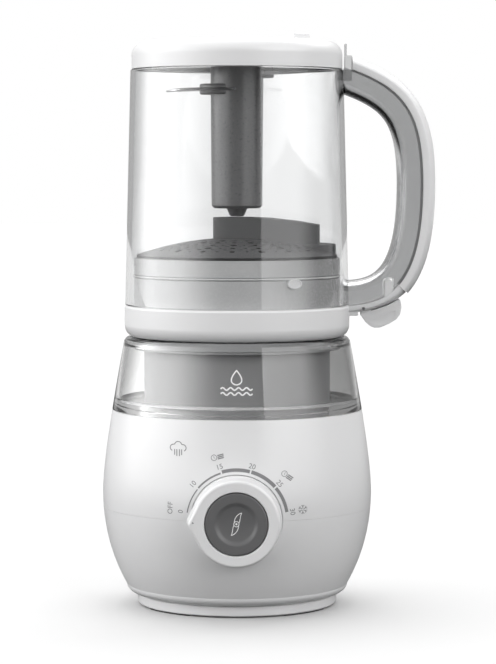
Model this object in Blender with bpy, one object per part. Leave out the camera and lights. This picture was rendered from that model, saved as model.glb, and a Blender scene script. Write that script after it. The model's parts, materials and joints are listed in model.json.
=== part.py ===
"""A steam-and-blend baby food maker: a jar with a handle stands upside down on a round motor base.

Metres, +Z up. The dial faces -Y and the handle points to +X. The pieces are drawn round the base's axis, and
the last step moves them so that the origin is the middle of the bounding box's underside. The jar is in its
steaming position: its lid is at the bottom, over the steam nozzle, and the blade unit hangs at the top.
"""

import math

import bmesh
import bpy
from mathutils import Matrix, Vector

# ---- driving dimensions ---------------------------------------------------------------------------------
GAP = 0.0003  # air left between neighbouring pieces
CASE_WALL = 0.0025
MERGE = 1e-6
LARGE, MEDIUM, SMALL, TINY = 32, 20, 12, 8  # sides of turned pieces

FOOT_PAD = 0.0008
FOOT_BOTTOM_Z = -0.0017
FOOT_TOP_Z = 0.0038
FOOT_RADIUS = 0.0555
SHELL_BOTTOM_Z = 0.0041
SPOOL_RADIUS = 0.0313
CORD_CEILING_Z = 0.014
CORD_RADIUS = 0.00275
CORD_INNER, CORD_OUTER = 0.0350, 0.0463  # middles of the innermost and outermost turns
CORD_Z = 0.0078
BUSH_ANGLE = 330
BODY_RADIUS = 0.0748  # the barrel's widest point
BODY_WIDEST_Z = 0.060
BODY_LOWER_AXIS = 0.090  # vertical half axis of the ellipse under the widest point
BODY_EDGE_Z = 0.009  # the ellipse turns in to the foot below this height
SEAM_Z = 0.0525
SHELL_TOP_Z = 0.106
TANK_TOP_Z = 0.1465
TANK_TOP_RADIUS = 0.0625
TANK_WALL = 0.0026
TANK_FLOOR_Z = 0.1108
CORE_RADIUS = 0.0517  # inner wall of the ring-shaped water tank
DECK_Z = 0.142
DECK_TOP_Z = 0.1442

KNOB_Z = 0.053
KNOB_BACK = 0.0692  # distances in front of the base's axis
KNOB_FACE = 0.0882
NOSE_BACK = 0.0746  # in front of the barrel's widest point, so that the nose can pass over it
KNOB_BASE_RADIUS = 0.0244
KNOB_FACE_RADIUS = 0.0226
KNOB_BORE = 0.0170
KNOB_WEB_BACK, KNOB_WEB_FRONT = 0.0735, 0.0755
NOSE_RADIUS = 0.0037
NOSE_REACH = 0.0257
BUTTON_RADIUS = 0.0166
BUTTON_TRAVEL = 0.0025
TIMER_FRONT, TIMER_BACK = 0.0615, 0.0435
TIMER_HALF = 0.018
SHAFT_TUBE_RADIUS = 0.0045

LID_RADIUS = 0.0625
LID_BOTTOM_Z = 0.1468
LID_TOP_Z = 0.164
LID_FLOOR_Z = 0.153
COLLAR_RADIUS = 0.0572
COLLAR_TOP_Z = 0.1905
SEAL_Z = 0.1812

JAR_BOTTOM_Z = LID_TOP_Z + GAP
JAR_BOTTOM_RADIUS = 0.0622
JAR_TOP_RADIUS = 0.0589
JAR_SHOULDER_Z = 0.2942
JAR_NECK_RADIUS = 0.056
JAR_TOP_Z = 0.3035
JAR_WALL = 0.0027
JAR_INSIDE_TOP_Z = 0.301

CAP_RADIUS = 0.0583
CAP_BOTTOM_Z = JAR_SHOULDER_Z + GAP
CAP_TOP_Z = 0.31
CAP_ROUNDING = 0.008
LUG_HEIGHT = 0.0033

STRAINER_RADIUS = 0.0557
STRAINER_EDGE_Z = 0.1922
STRAINER_RISE = 0.0093
STRAINER_SKIN = 0.0018
HUMP_Z = 0.213
HUMP_REACH = 0.046
HUMP_CORNER = 0.0133
STEP_Z = 0.198

SLEEVE_RADIUS = 0.0147
SLEEVE_BOTTOM_Z = 0.2178
NUB_TIP_Z = 0.2133
LOWER_BLADE_Z = 0.2834
UPPER_BLADE_Z = 0.2928
BLADE_THICKNESS = 0.0012
BLADE_REACH = 0.0395

HANDLE_HALF_WIDTH = 0.010
HANDLE_CORE_DEPTH = 0.014
HANDLE_COVER_DEPTH = 0.0074
ARM_DEPTH, ARM_DEPTH_AT_LID = 0.0062, 0.0044
COVER_START_X = 0.0637
COVER_END = 0.6  # place along the lower handle curve where the cover ends and the lid's arm begins
HANDLE_TOP = [(0.0634, 0.2939), (0.0916, 0.2836), (0.1026, 0.271), (0.1026, 0.231)]
HANDLE_BOTTOM = [(0.1026, 0.231), (0.1026, 0.189), (0.0934, 0.1639), (0.0600, 0.1639)]

LEVER_PIVOT = (0.0699, 0.1623)
LEVER_HALF_WIDTH = 0.0055
TANK_CAP_AT = (0.0314, 0.0264)
TANK_CAP_RADIUS = 0.0134
POCKET_RADIUS = 0.0125
INTERLOCK_AT = (-0.0340, 0.0260)

PAINTS = {  # colour, roughness, metallic, alpha
    "white_plastic": ((0.88, 0.88, 0.89), 0.35, 0.0, 1.0),
    "clear_plastic": ((0.86, 0.88, 0.89), 0.08, 0.0, 0.3),
    "frosted_plastic": ((0.72, 0.73, 0.74), 0.3, 0.0, 0.6),
    "pale_grey_plastic": ((0.62, 0.63, 0.64), 0.4, 0.0, 1.0),
    "dark_grey_plastic": ((0.16, 0.16, 0.165), 0.45, 0.0, 1.0),
    "black_plastic": ((0.03, 0.03, 0.03), 0.5, 0.0, 1.0),
    "silicone": ((0.75, 0.76, 0.77), 0.6, 0.0, 1.0),
    "rubber": ((0.05, 0.05, 0.05), 0.8, 0.0, 1.0),
    "steel": ((0.62, 0.63, 0.65), 0.22, 1.0, 1.0),
    "aluminium": ((0.7, 0.71, 0.72), 0.4, 1.0, 1.0),
    "brass": ((0.75, 0.55, 0.25), 0.35, 1.0, 1.0),
    "circuit_board": ((0.04, 0.22, 0.10), 0.5, 0.0, 1.0),
}


# ---- curves and outlines --------------------------------------------------------------------------------
def bezier(points, t):
    """The place at t from 0 to 1 on the cubic with these four control points."""
    a, b, c, d = (Vector(p) for p in points)
    s = 1 - t
    return a * s**3 + b * 3 * s * s * t + c * 3 * s * t * t + d * t**3


def bezier_slope(points, t):
    a, b, c, d = (Vector(p) for p in points)
    s = 1 - t
    return ((b - a) * s * s + (c - b) * 2 * s * t + (d - c) * t * t).normalized()


def arc(centre, radius, start, end, steps):
    """Points from start to end degrees; radius may be one number or (across, up)."""
    across, up = radius if isinstance(radius, tuple) else (radius, radius)
    angles = [math.radians(start + (end - start) * i / steps) for i in range(steps + 1)]
    return [(centre[0] + across * math.cos(a), centre[1] + up * math.sin(a)) for a in angles]


def filleted(corners, steps=4):
    """An outline from (x, y, radius) corners, each rounded to its radius."""
    outline = []
    for i, (x, y, radius) in enumerate(corners):
        here = Vector((x, y))
        before = (Vector(corners[i - 1][:2]) - here).normalized()
        after = (Vector(corners[(i + 1) % len(corners)][:2]) - here).normalized()
        half = before.angle(after) / 2
        if radius == 0:
            outline.append((x, y))
            continue
        setback = radius / math.tan(half)
        centre = here + (before + after).normalized() * (radius / math.sin(half))
        first = here + before * setback - centre
        last = here + after * setback - centre
        turn = first.angle_signed(last)
        for k in range(steps + 1):
            point = centre + Matrix.Rotation(-turn * k / steps, 2) @ first
            outline.append((point.x, point.y))
    return outline


def body_radius(z):
    """Outer radius of the base at a height: an ellipse below the widest point, a flat cubic above it."""
    if z <= BODY_WIDEST_Z:
        return BODY_RADIUS * math.sqrt(1 - ((BODY_WIDEST_Z - z) / BODY_LOWER_AXIS) ** 2)
    side = [
        (BODY_RADIUS, BODY_WIDEST_Z),
        (BODY_RADIUS, BODY_WIDEST_Z + 0.014),
        (TANK_TOP_RADIUS + 0.0088, TANK_TOP_Z - 0.0485),
        (TANK_TOP_RADIUS, TANK_TOP_Z),
    ]
    low, high = 0.0, 1.0
    for _ in range(30):
        middle = (low + high) / 2
        low, high = (middle, high) if bezier(side, middle).y < z else (low, middle)
    return bezier(side, low).x


def body_outline(low, high, count, inset=0.0):
    heights = [low + (high - low) * i / count for i in range(count + 1)]
    return [(body_radius(z) - inset, z) for z in heights]


def jar_radius(z):
    share = (z - JAR_BOTTOM_Z) / (JAR_SHOULDER_Z - JAR_BOTTOM_Z)
    return JAR_BOTTOM_RADIUS + (JAR_TOP_RADIUS - JAR_BOTTOM_RADIUS) * share


# ---- modelling helpers ----------------------------------------------------------------------------------
def paint(name):
    found = bpy.data.materials.get(name)
    if found:
        return found
    colour, roughness, metallic, alpha = PAINTS[name]
    made = bpy.data.materials.new(name)
    made.use_nodes = True
    shader = made.node_tree.nodes["Principled BSDF"]
    shader.inputs["Base Color"].default_value = (*colour, 1.0)
    shader.inputs["Roughness"].default_value = roughness
    shader.inputs["Metallic"].default_value = metallic
    shader.inputs["Alpha"].default_value = alpha
    made.diffuse_color = (*colour, alpha)
    return made


def shade(obj):
    obj.data.shade_smooth()
    obj.data.set_sharp_from_angle(angle=math.radians(32))
    return obj


def as_object(name, mesh, material):
    """Turns a finished bmesh into an object with its faces pointing out."""
    bmesh.ops.recalc_face_normals(mesh, faces=mesh.faces)
    data = bpy.data.meshes.new(name)
    mesh.to_mesh(data)
    mesh.free()
    obj = bpy.data.objects.new(name, data)
    bpy.context.scene.collection.objects.link(obj)
    if material:
        data.materials.append(paint(material))
    return shade(obj)


def turned(name, outline, material=None, sides=LARGE):
    """A solid of revolution about Z from (radius, height) points; ends at radius 0 are closed on the axis."""
    mesh = bmesh.new()
    ring = [mesh.verts.new((r, 0.0, z)) for r, z in outline]
    touches_axis = outline[0][0] < MERGE and outline[-1][0] < MERGE
    ends = ring[1:] if touches_axis else ring[1:] + ring[:1]
    edges = [mesh.edges.new(pair) for pair in zip(ring, ends)]
    full_turn = {"cent": (0, 0, 0), "axis": (0, 0, 1), "angle": math.tau, "steps": sides}
    bmesh.ops.spin(mesh, geom=ring + edges, **full_turn)
    bmesh.ops.remove_doubles(mesh, verts=mesh.verts, dist=MERGE)
    return as_object(name, mesh, material)


def prism(name, outline, low, high, material=None):
    """An (x, y) outline raised from low to high."""
    mesh = bmesh.new()
    face = mesh.faces.new([mesh.verts.new((x, y, low)) for x, y in outline])
    raised = bmesh.ops.extrude_face_region(mesh, geom=[face])["geom"]
    tops = [v for v in raised if isinstance(v, bmesh.types.BMVert)]
    bmesh.ops.translate(mesh, verts=tops, vec=(0, 0, high - low))
    return as_object(name, mesh, material)


def side_prism(name, outline, half_width, material=None):
    """An (x, z) outline, widened to both sides of the XZ plane."""
    obj = prism(name, outline, -half_width, half_width, material)
    obj.data.transform(Matrix.Rotation(math.pi / 2, 4, "X"))
    return obj


def cylinder(name, radius, low, high, at=(0.0, 0.0), material=None, sides=MEDIUM):
    obj = turned(name, [(0, low), (radius, low), (radius, high), (0, high)], material, sides)
    obj.data.transform(Matrix.Translation((at[0], at[1], 0)))
    return obj


def ring(name, inner, outer, low, high, material=None, sides=LARGE, at=(0.0, 0.0)):
    corners = [(inner, low), (outer, low), (outer, high), (inner, high)]
    obj = turned(name, corners, material, sides)
    obj.data.transform(Matrix.Translation((at[0], at[1], 0)))
    return obj


def box(name, low, high, material=None):
    corners = [(low[0], low[1]), (high[0], low[1]), (high[0], high[1]), (low[0], high[1])]
    return prism(name, corners, low[2], high[2], material)


def moved(obj, matrix):
    obj.data.transform(matrix)
    return obj


def combine(target, tool, operation="DIFFERENCE"):
    """Cuts tool out of target, or adds it, and removes the tool."""
    step = target.modifiers.new(operation.lower(), "BOOLEAN")
    step.operation = operation
    step.object = tool
    bpy.context.view_layer.update()
    graph = bpy.context.evaluated_depsgraph_get()
    old, shape = target.data, bpy.data.meshes.new_from_object(target.evaluated_get(graph))
    target.modifiers.clear()
    weld = bmesh.new()
    weld.from_mesh(shape)
    bmesh.ops.remove_doubles(weld, verts=weld.verts, dist=10 * MERGE)
    weld.to_mesh(shape)
    weld.free()
    target.data = shape
    bpy.data.meshes.remove(old)
    bpy.data.meshes.remove(tool.data)
    return shade(target)


def add(target, *tools):
    for tool in tools:
        combine(target, tool, "UNION")
    return target


def cut(target, *tools):
    for tool in tools:
        combine(target, tool)
    return target


def many(name, shapes):
    """Several separate tools as one object, so that one Boolean uses them all."""
    mesh = bmesh.new()
    for shape in shapes:
        mesh.from_mesh(shape.data)
        bpy.data.meshes.remove(shape.data)
    return as_object(name, mesh, None)


def turn(degrees, axis="Z"):
    return Matrix.Rotation(math.radians(degrees), 4, axis)


def skin(name, loops, material):
    """Closes a row of matching loops of points into a solid with flat ends."""
    mesh = bmesh.new()
    rows = [[mesh.verts.new(p) for p in loop] for loop in loops]
    for near, far in zip(rows, rows[1:]):
        for i in range(len(near)):
            j = (i + 1) % len(near)
            mesh.faces.new((near[i], near[j], far[j], far[i]))
    mesh.faces.new(rows[0])
    mesh.faces.new(reversed(rows[-1]))
    return as_object(name, mesh, material)


def tube_along(name, points, radius, material, sides=6):
    """A round cable or wire along a row of points, made as a bevelled curve with filled ends."""
    curve = bpy.data.curves.new(name, "CURVE")
    curve.dimensions = "3D"
    curve.bevel_depth = radius
    curve.bevel_resolution = sides // 2 - 2
    curve.use_fill_caps = True
    line = curve.splines.new("POLY")
    line.points.add(len(points) - 1)
    for place, point in zip(line.points, points):
        place.co = (*point, 1.0)
    guide = bpy.data.objects.new(name + "_guide", curve)
    bpy.context.scene.collection.objects.link(guide)
    bpy.context.view_layer.update()
    graph = bpy.context.evaluated_depsgraph_get()
    data = bpy.data.meshes.new_from_object(guide.evaluated_get(graph))
    bpy.data.objects.remove(guide)
    mesh = bmesh.new()
    mesh.from_mesh(data)
    bpy.data.meshes.remove(data)
    bmesh.ops.remove_doubles(mesh, verts=mesh.verts, dist=MERGE)
    return as_object(name, mesh, material)


# ---- the base's casing ----------------------------------------------------------------------------------
def knob_recess():
    """Cutter for the round recess in the front of both casing halves."""
    tool = cylinder("recess", KNOB_BASE_RADIUS + 0.0006, 0.060, 0.085, sides=LARGE)
    return moved(tool, Matrix.Translation((0, 0, KNOB_Z)) @ turn(90, "X"))


def make_lower_shell():
    """Lower half of the casing, with a flange inside that the bottom cover screws to."""
    edge = (body_radius(BODY_EDGE_Z) - 0.0550, BODY_EDGE_Z - SHELL_BOTTOM_Z)
    outer = arc((0.0550, BODY_EDGE_Z), edge, -90, 0, 3)
    outer += body_outline(BODY_EDGE_Z, SEAM_Z - GAP / 2, 5)[1:]
    flange = CORD_CEILING_Z + 0.002 + GAP
    inner = body_outline(flange + 0.002, SEAM_Z - GAP / 2, 3, CASE_WALL)[::-1]
    inner += [(0.0420, flange + 0.002), (0.0420, flange), (body_radius(flange) - CASE_WALL, flange)]
    inner += [(body_radius(0.0105) - CASE_WALL, 0.0105), (0.0535, 0.0070), (0.0535, SHELL_BOTTOM_Z)]
    shell = turned("lower_shell", outer + inner, "white_plastic")
    holes = [cylinder("hole", 0.0016 + GAP, 0.01, 0.03, at, sides=TINY) for at in screw_places()]
    place = polar(CORD_OUTER, BUSH_ANGLE)
    holes.append(cylinder("bush_hole", 0.0042 + GAP, 0.01, 0.03, place, sides=SMALL))
    return cut(shell, knob_recess(), many("holes", holes))


def make_upper_shell():
    outer = body_outline(SEAM_Z + GAP / 2, SHELL_TOP_Z, 5)
    ledge = [(0.0622, SHELL_TOP_Z), (0.0622, SHELL_TOP_Z - 0.0022)]
    inner = body_outline(SEAM_Z + GAP / 2, SHELL_TOP_Z - 0.0035, 3, CASE_WALL)[::-1]
    shell = turned("upper_shell", outer + ledge + inner, "white_plastic")
    return cut(shell, knob_recess())


def make_bottom_cover():
    """Foot ring, and inside it the hollow where the mains cable winds round a spool wall."""
    outline = [(0, CORD_CEILING_Z), (SPOOL_RADIUS - 0.002, CORD_CEILING_Z), (SPOOL_RADIUS - 0.002, 0.003)]
    outline += [(SPOOL_RADIUS, 0.003), (SPOOL_RADIUS, CORD_CEILING_Z)]
    outline += [(0.0513, CORD_CEILING_Z), (0.0513, FOOT_BOTTOM_Z)]
    outline += [(0.0550, FOOT_BOTTOM_Z), (FOOT_RADIUS, FOOT_BOTTOM_Z + 0.0006)]
    outline += [(FOOT_RADIUS, FOOT_TOP_Z - 0.0006)]
    outline += [(0.0550, FOOT_TOP_Z), (0.0531, FOOT_TOP_Z), (0.0531, CORD_CEILING_Z + 0.002)]
    outline += [(0, CORD_CEILING_Z + 0.002)]
    cover = turned("bottom_cover", outline, "white_plastic")
    for angle in (60, 180, 300):
        add(cover, moved(box("tab", (0.0455, -0.0035, 0.0022), (0.0518, 0.0035, 0.0036)), turn(angle)))
    slots = [box("slot", (0.010, -0.0012, 0), (0.026, 0.0012, 0.02)) for _ in range(8)]
    for i, slot in enumerate(slots):
        moved(slot, turn(i * 45))
    holes = [cylinder("hole", 0.0020, 0, 0.02, at, sides=TINY) for at in screw_places()]
    holes.append(cylinder("bush_hole", 0.0042 + GAP, 0, 0.02, polar(CORD_OUTER, BUSH_ANGLE), sides=SMALL))
    cord_gate = box("cord_gate", (-0.0330, -0.0045, 0), (-0.0250, 0.0150, CORD_CEILING_Z - 0.0005))
    way_out = box("way_out", (-0.0031, 0.050, -0.01), (0.0031, 0.060, 0.0030))
    return cut(cover, many("slots", slots), many("holes", holes), cord_gate, way_out)


def polar(radius, degrees):
    return radius * math.cos(math.radians(degrees)), radius * math.sin(math.radians(degrees))


def screw_places():
    return [polar(0.0455, 30 + 120 * i) for i in range(3)]


def make_screws():
    screws = []
    for i, (x, y) in enumerate(screw_places()):
        low = CORD_CEILING_Z - 0.0016
        outline = [(0, low), (0.0030, low), (0.0033, low + 0.0013)]
        outline += [(0.0016, low + 0.0013), (0.0016, low + 0.0095)]
        screw = turned(f"base_screw_{i + 1}", outline + [(0, low + 0.0105)], "steel", TINY)
        screws.append(moved(screw, Matrix.Translation((x, y, 0))))
    return screws


def make_foot_pads():
    pads = []
    for i in range(4):
        outline = arc((0, 0), 0.0546, -16, 16, 5) + arc((0, 0), 0.0509, 16, -16, 5)
        pad = prism(f"foot_pad_{i + 1}", outline, FOOT_BOTTOM_Z - FOOT_PAD, FOOT_BOTTOM_Z - GAP / 3, "rubber")
        pads.append(moved(pad, turn(45 + 90 * i)))
    return pads


# ---- the water tank -------------------------------------------------------------------------------------
def make_tank_window():
    """The clear outer wall and floor of the tank."""
    bottom = SHELL_TOP_Z + GAP
    outer = [(0.0523, bottom)] + body_outline(bottom, TANK_TOP_Z - 0.002, 4)
    top = [(TANK_TOP_RADIUS - 0.0012, TANK_TOP_Z - 0.0003), (TANK_TOP_RADIUS - 0.002, TANK_TOP_Z)]
    top += [(0.0593, TANK_TOP_Z), (0.0593, TANK_TOP_Z - 0.0028)]
    inner = body_outline(TANK_FLOOR_Z + 0.002, TANK_TOP_Z - 0.005, 3, TANK_WALL)[::-1]
    floor = [(body_radius(TANK_FLOOR_Z) - TANK_WALL - 0.002, TANK_FLOOR_Z), (0.0523, TANK_FLOOR_Z)]
    return turned("tank_window", outer + top + inner + floor, "clear_plastic")


def make_tank_core():
    """The tank's inner wall and, at the back right, the round pocket where the water boils."""
    wall, flange, top = 0.002, 0.103, 0.1395
    outline = [(0.0470, flange), (0.0605, flange)]
    outline += [(0.0605, flange + 0.0015), (CORE_RADIUS, flange + 0.0015)]
    outline += [(CORE_RADIUS, top), (0.0090, top), (0.0090, top - wall), (CORE_RADIUS - wall, top - wall)]
    outline += [(CORE_RADIUS - wall, flange + 0.003), (0.0470, flange + 0.0015)]
    core = turned("tank_core", outline, "pale_grey_plastic")
    well = cylinder("well", POCKET_RADIUS + wall, flange - 0.0005, DECK_Z - GAP, TANK_CAP_AT)
    well = combine(well, cylinder("limit", CORE_RADIUS - wall / 2, 0.09, 0.16, sides=LARGE), "INTERSECT")
    bore = cylinder("bore", POCKET_RADIUS, flange + 0.0022, 0.16, TANK_CAP_AT)
    pin_way = cylinder("pin_way", 0.0023, 0.13, 0.16, INTERLOCK_AT, sides=TINY)
    return cut(add(core, well), bore, pin_way)


def make_deck():
    """The seat that the jar stands on, with the filler hole and the hole for the drive coupling."""
    outline = [(0.0110, DECK_Z), (0.0552, DECK_Z), (0.0552, 0.1400), (0.0573, 0.1400), (0.0573, DECK_Z)]
    outline += [(0.0589, DECK_Z), (0.0589, 0.1462), (0.0566, 0.1462), (0.0558, DECK_TOP_Z)]
    outline += [(0.0130, DECK_TOP_Z), (0.0130, 0.1458), (0.0110, 0.1458)]
    deck = turned("deck", outline, "pale_grey_plastic")
    hole = cylinder("hole", 0.0119, 0.13, 0.16, TANK_CAP_AT)
    guide = cylinder("guide", 0.0023, 0.13, 0.16, INTERLOCK_AT, sides=TINY)
    return cut(deck, hole, guide)


def make_tank_cap():
    """Quarter-turn filler plug: a gripped disc with the steam nozzle in its middle."""
    outline = [(0.0019, 0.1370), (0.0105, 0.1370), (0.0112, 0.1376), (0.0112, DECK_TOP_Z + GAP)]
    outline += [(TANK_CAP_RADIUS, DECK_TOP_Z + GAP), (TANK_CAP_RADIUS, 0.1466), (0.0130, 0.1472)]
    outline += [(0.0040, 0.1472), (0.0034, 0.1498), (0.0019, 0.1498)]
    cap = turned("tank_cap", outline, "white_plastic", MEDIUM)
    for side in (-1, 1):
        rib = sorted((side * 0.0045, side * 0.0120))
        add(cap, box("rib", (rib[0], -0.0013, 0.1465), (rib[1], 0.0013, 0.1494)))
    return moved(cap, Matrix.Translation((*TANK_CAP_AT, 0)))


# ---- what is inside the base ----------------------------------------------------------------------------
def make_motor():
    """Universal motor on the base's axis: stator stack, two coils, end brackets, bearings and brushes."""
    sides = ((1, 1), (-1, 1), (-1, -1), (1, -1))
    corners = [(0.027 * x, 0.027 * y, 0.007) for x, y in sides]
    stator = prism("motor_stator", filleted(corners), 0.040, 0.064, "steel")
    cut(stator, cylinder("bore", 0.0172, 0.03, 0.08))
    pieces = [stator]
    for name, side in (("field_coil_left", -1), ("field_coil_right", 1)):
        outline = arc((0, 0), 0.0262, -48, 48, 6) + arc((0, 0), 0.0185, 48, -48, 6)
        coil = prism(name, outline, 0.0645, 0.0725, "brass")
        pieces.append(moved(coil, turn(0 if side > 0 else 180)))
    for name, low in (("lower_bracket", 0.0345), ("upper_bracket", 0.0860)):
        plate = [(0.027 * x, 0.009 * y, 0.003) for x, y in sides]
        bracket = prism(name, filleted(plate, 3), low, low + 0.004, "aluminium")
        pieces.append(cut(bracket, cylinder("seat", 0.0073, low - 0.01, low + 0.01, sides=SMALL)))
        bearing = f"{name.split('_')[0]}_bearing"
        pieces.append(ring(bearing, 0.0041, 0.0070, low - 0.001, low + 0.005, "brass", SMALL))
    for name, side in (("brush_left", -1), ("brush_right", 1)):
        ends = sorted((side * 0.0102, side * 0.0240))
        pieces.append(box(name, (ends[0], -0.003, 0.0755), (ends[1], 0.003, 0.0805), "black_plastic"))
    return pieces


def make_rotor():
    """Everything that turns with the motor shaft."""
    shaft = cylinder("motor_shaft", 0.0040, 0.018, 0.1450, material="steel", sides=SMALL)
    armature = ring("armature", 0.0043, 0.0166, 0.042, 0.062, "steel", MEDIUM)
    commutator = ring("commutator", 0.0043, 0.0098, 0.074, 0.083, "brass", SMALL)
    fan = ring("cooling_fan", 0.0043, 0.0080, 0.0205, 0.0290, "white_plastic", SMALL)
    add(fan, ring("disc", 0.0070, 0.0245, 0.0275, 0.0290, sides=MEDIUM))
    for i in range(8):
        blade = box("blade", (0.0075, -0.0006, 0.0205), (0.0238, 0.0006, 0.0280))
        add(fan, moved(blade, turn(i * 45 + 10)))
    coupling = turned(
        "drive_coupling",
        [(0.0043, 0.1400), (0.0085, 0.1400), (0.0085, 0.1455), (0.0102, 0.1460), (0.0102, 0.1492)]
        + [(0.0070, 0.1496), (0.0070, 0.1545), (0, 0.1550), (0, 0.1455), (0.0043, 0.1455)],
        "dark_grey_plastic",
        MEDIUM,
    )
    for i in range(4):
        dog = box("dog", (0.0055, -0.0014, 0.1490), (0.0100, 0.0014, 0.1540))
        add(coupling, moved(dog, turn(i * 90 + 45)))
    return [shaft, armature, commutator, fan, coupling]


def make_heater():
    """Cast plate and cut-out clamped under the pocket where the water boils."""
    plate = cylinder("heating_plate", 0.0135, 0.0962, 0.1022, TANK_CAP_AT, "aluminium")
    cutout = cylinder("thermal_cutout", 0.0065, 0.0895, 0.0959, TANK_CAP_AT, "black_plastic", SMALL)
    return [plate, cutout]


def make_controls():
    """Timer block, blend switch and board behind the dial."""
    low = (-TIMER_HALF, -TIMER_FRONT, KNOB_Z - TIMER_HALF)
    high = (TIMER_HALF, -TIMER_BACK, KNOB_Z + TIMER_HALF)
    timer = box("timer_unit", low, high, "black_plastic")
    to_front = Matrix.Translation((0, 0, KNOB_Z)) @ turn(90, "X")
    seat = cylinder("seat", SHAFT_TUBE_RADIUS + GAP, TIMER_FRONT - 0.009, TIMER_FRONT + 0.01, sides=SMALL)
    rod_way = cylinder("rod_way", 0.0026, TIMER_BACK - 0.01, TIMER_FRONT, sides=SMALL)
    cut(timer, moved(seat, to_front), moved(rod_way, to_front))
    low = (-0.010, -0.0422, KNOB_Z - 0.0035)
    high = (0.010, -0.0345, KNOB_Z + 0.0065)
    switch = box("blend_switch", low, high, "black_plastic")
    board = box("control_board", (-0.0520, -0.022, 0.030), (-0.0504, 0.022, 0.080), "circuit_board")
    return [timer, switch, board]


def make_bezel():
    """Dish in the casing that the dial turns in."""
    back, front, wall = 0.0660, 0.0684, 0.0016
    outline = [(0.0049, back), (KNOB_BASE_RADIUS - wall, back), (KNOB_BASE_RADIUS + GAP, back)]
    outline += [(KNOB_BASE_RADIUS + GAP, front), (0.0049, front)]
    return on_dial(turned("dial_bezel", outline, "white_plastic"))


def on_dial(obj):
    """Stands a piece on the dial's axis: its local Z points out of the front of the base."""
    obj.location = (0, 0, KNOB_Z)
    obj.rotation_euler = (math.pi / 2, 0, 0)
    return obj


def knob_outline(radius, nose, reach, steps=22):
    """A circle drawn out on its left into a round nose that points at the scale."""
    spread = 180 - math.degrees(math.acos((radius - nose) / (reach - nose)))
    circle = arc((0, 0), radius, -spread, spread, steps)
    tip = arc((nose - reach, 0), nose, spread, 360 - spread, 5)
    return circle + tip


def make_dial():
    """The turning ring with its pointer nose, its web, and the hollow shaft into the timer."""
    base = knob_outline(KNOB_BASE_RADIUS - 0.0002, NOSE_RADIUS, NOSE_REACH + 0.0008)
    face = knob_outline(KNOB_FACE_RADIUS + 0.0006, NOSE_RADIUS, NOSE_REACH)
    lip = knob_outline(KNOB_FACE_RADIUS - 0.0006, NOSE_RADIUS - 0.0008, NOSE_REACH - 0.0012)
    loops = [(base, NOSE_BACK), (face, KNOB_FACE - 0.0012), (lip, KNOB_FACE)]
    knob = skin("dial_ring", [[(x, y, d) for x, y in loop] for loop, d in loops], "white_plastic")
    add(knob, cylinder("skirt", KNOB_BASE_RADIUS, KNOB_BACK, NOSE_BACK + 0.0008, sides=LARGE))
    cut(knob, cylinder("bore", KNOB_BORE, KNOB_WEB_FRONT, 0.1, sides=LARGE))
    cut(knob, cylinder("back", KNOB_BORE + 0.003, 0.05, KNOB_WEB_BACK, sides=LARGE))
    cut(knob, cylinder("shaft_hole", SHAFT_TUBE_RADIUS + GAP, 0.05, 0.1, sides=SMALL))
    rear, front = TIMER_FRONT - 0.0085, KNOB_WEB_FRONT + 0.001
    shaft = ring("timer_shaft", 0.0027, SHAFT_TUBE_RADIUS, rear, front, "steel", SMALL)
    return [on_dial(knob), on_dial(shaft)]


def make_button():
    """Blend button: a dished disc on a rod that reaches through the shaft to the switch."""
    back, front = 0.0842, 0.0880
    outline = [(0, 0.0457), (0.0018, 0.0457), (0.0018, back)]
    outline += [(BUTTON_RADIUS, back), (BUTTON_RADIUS, front - 0.0008)]
    outline += [(BUTTON_RADIUS - 0.0008, front), (0.0118, front + 0.0002), (0.0105, front - 0.0006)]
    outline += [(0.0060, front - 0.0017), (0, front - 0.0020)]
    return on_dial(turned("blend_button", outline, "dark_grey_plastic", MEDIUM))


def make_button_spring():
    turns, steps, radius = 3, 9, 0.0072
    start, end = KNOB_WEB_FRONT + 0.0009, 0.0842 - 0.0009
    places = []
    for i in range(turns * steps + 1):
        angle = math.tau * i / steps
        along = start + (end - start) * i / (turns * steps)
        places.append((radius * math.cos(angle), radius * math.sin(angle), along))
    return on_dial(tube_along("button_spring", places, 0.0005, "steel", 6))


def make_interlock():
    """Sprung pin that the jar's lid holds down, and the switch under it."""
    pin = turned(
        "interlock_pin",
        [(0, 0.1285), (0.0020, 0.1285), (0.0020, 0.1462), (0.0014, 0.1470), (0, 0.1470)],
        "dark_grey_plastic",
        TINY,
    )
    return moved(pin, Matrix.Translation((*INTERLOCK_AT, 0)))


def make_interlock_switch():
    x, y = INTERLOCK_AT
    low = (x - 0.0035, y - 0.0065, 0.1175)
    high = (x + 0.0035, y + 0.0055, 0.1257)
    return box("interlock_switch", low, high, "black_plastic")


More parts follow.
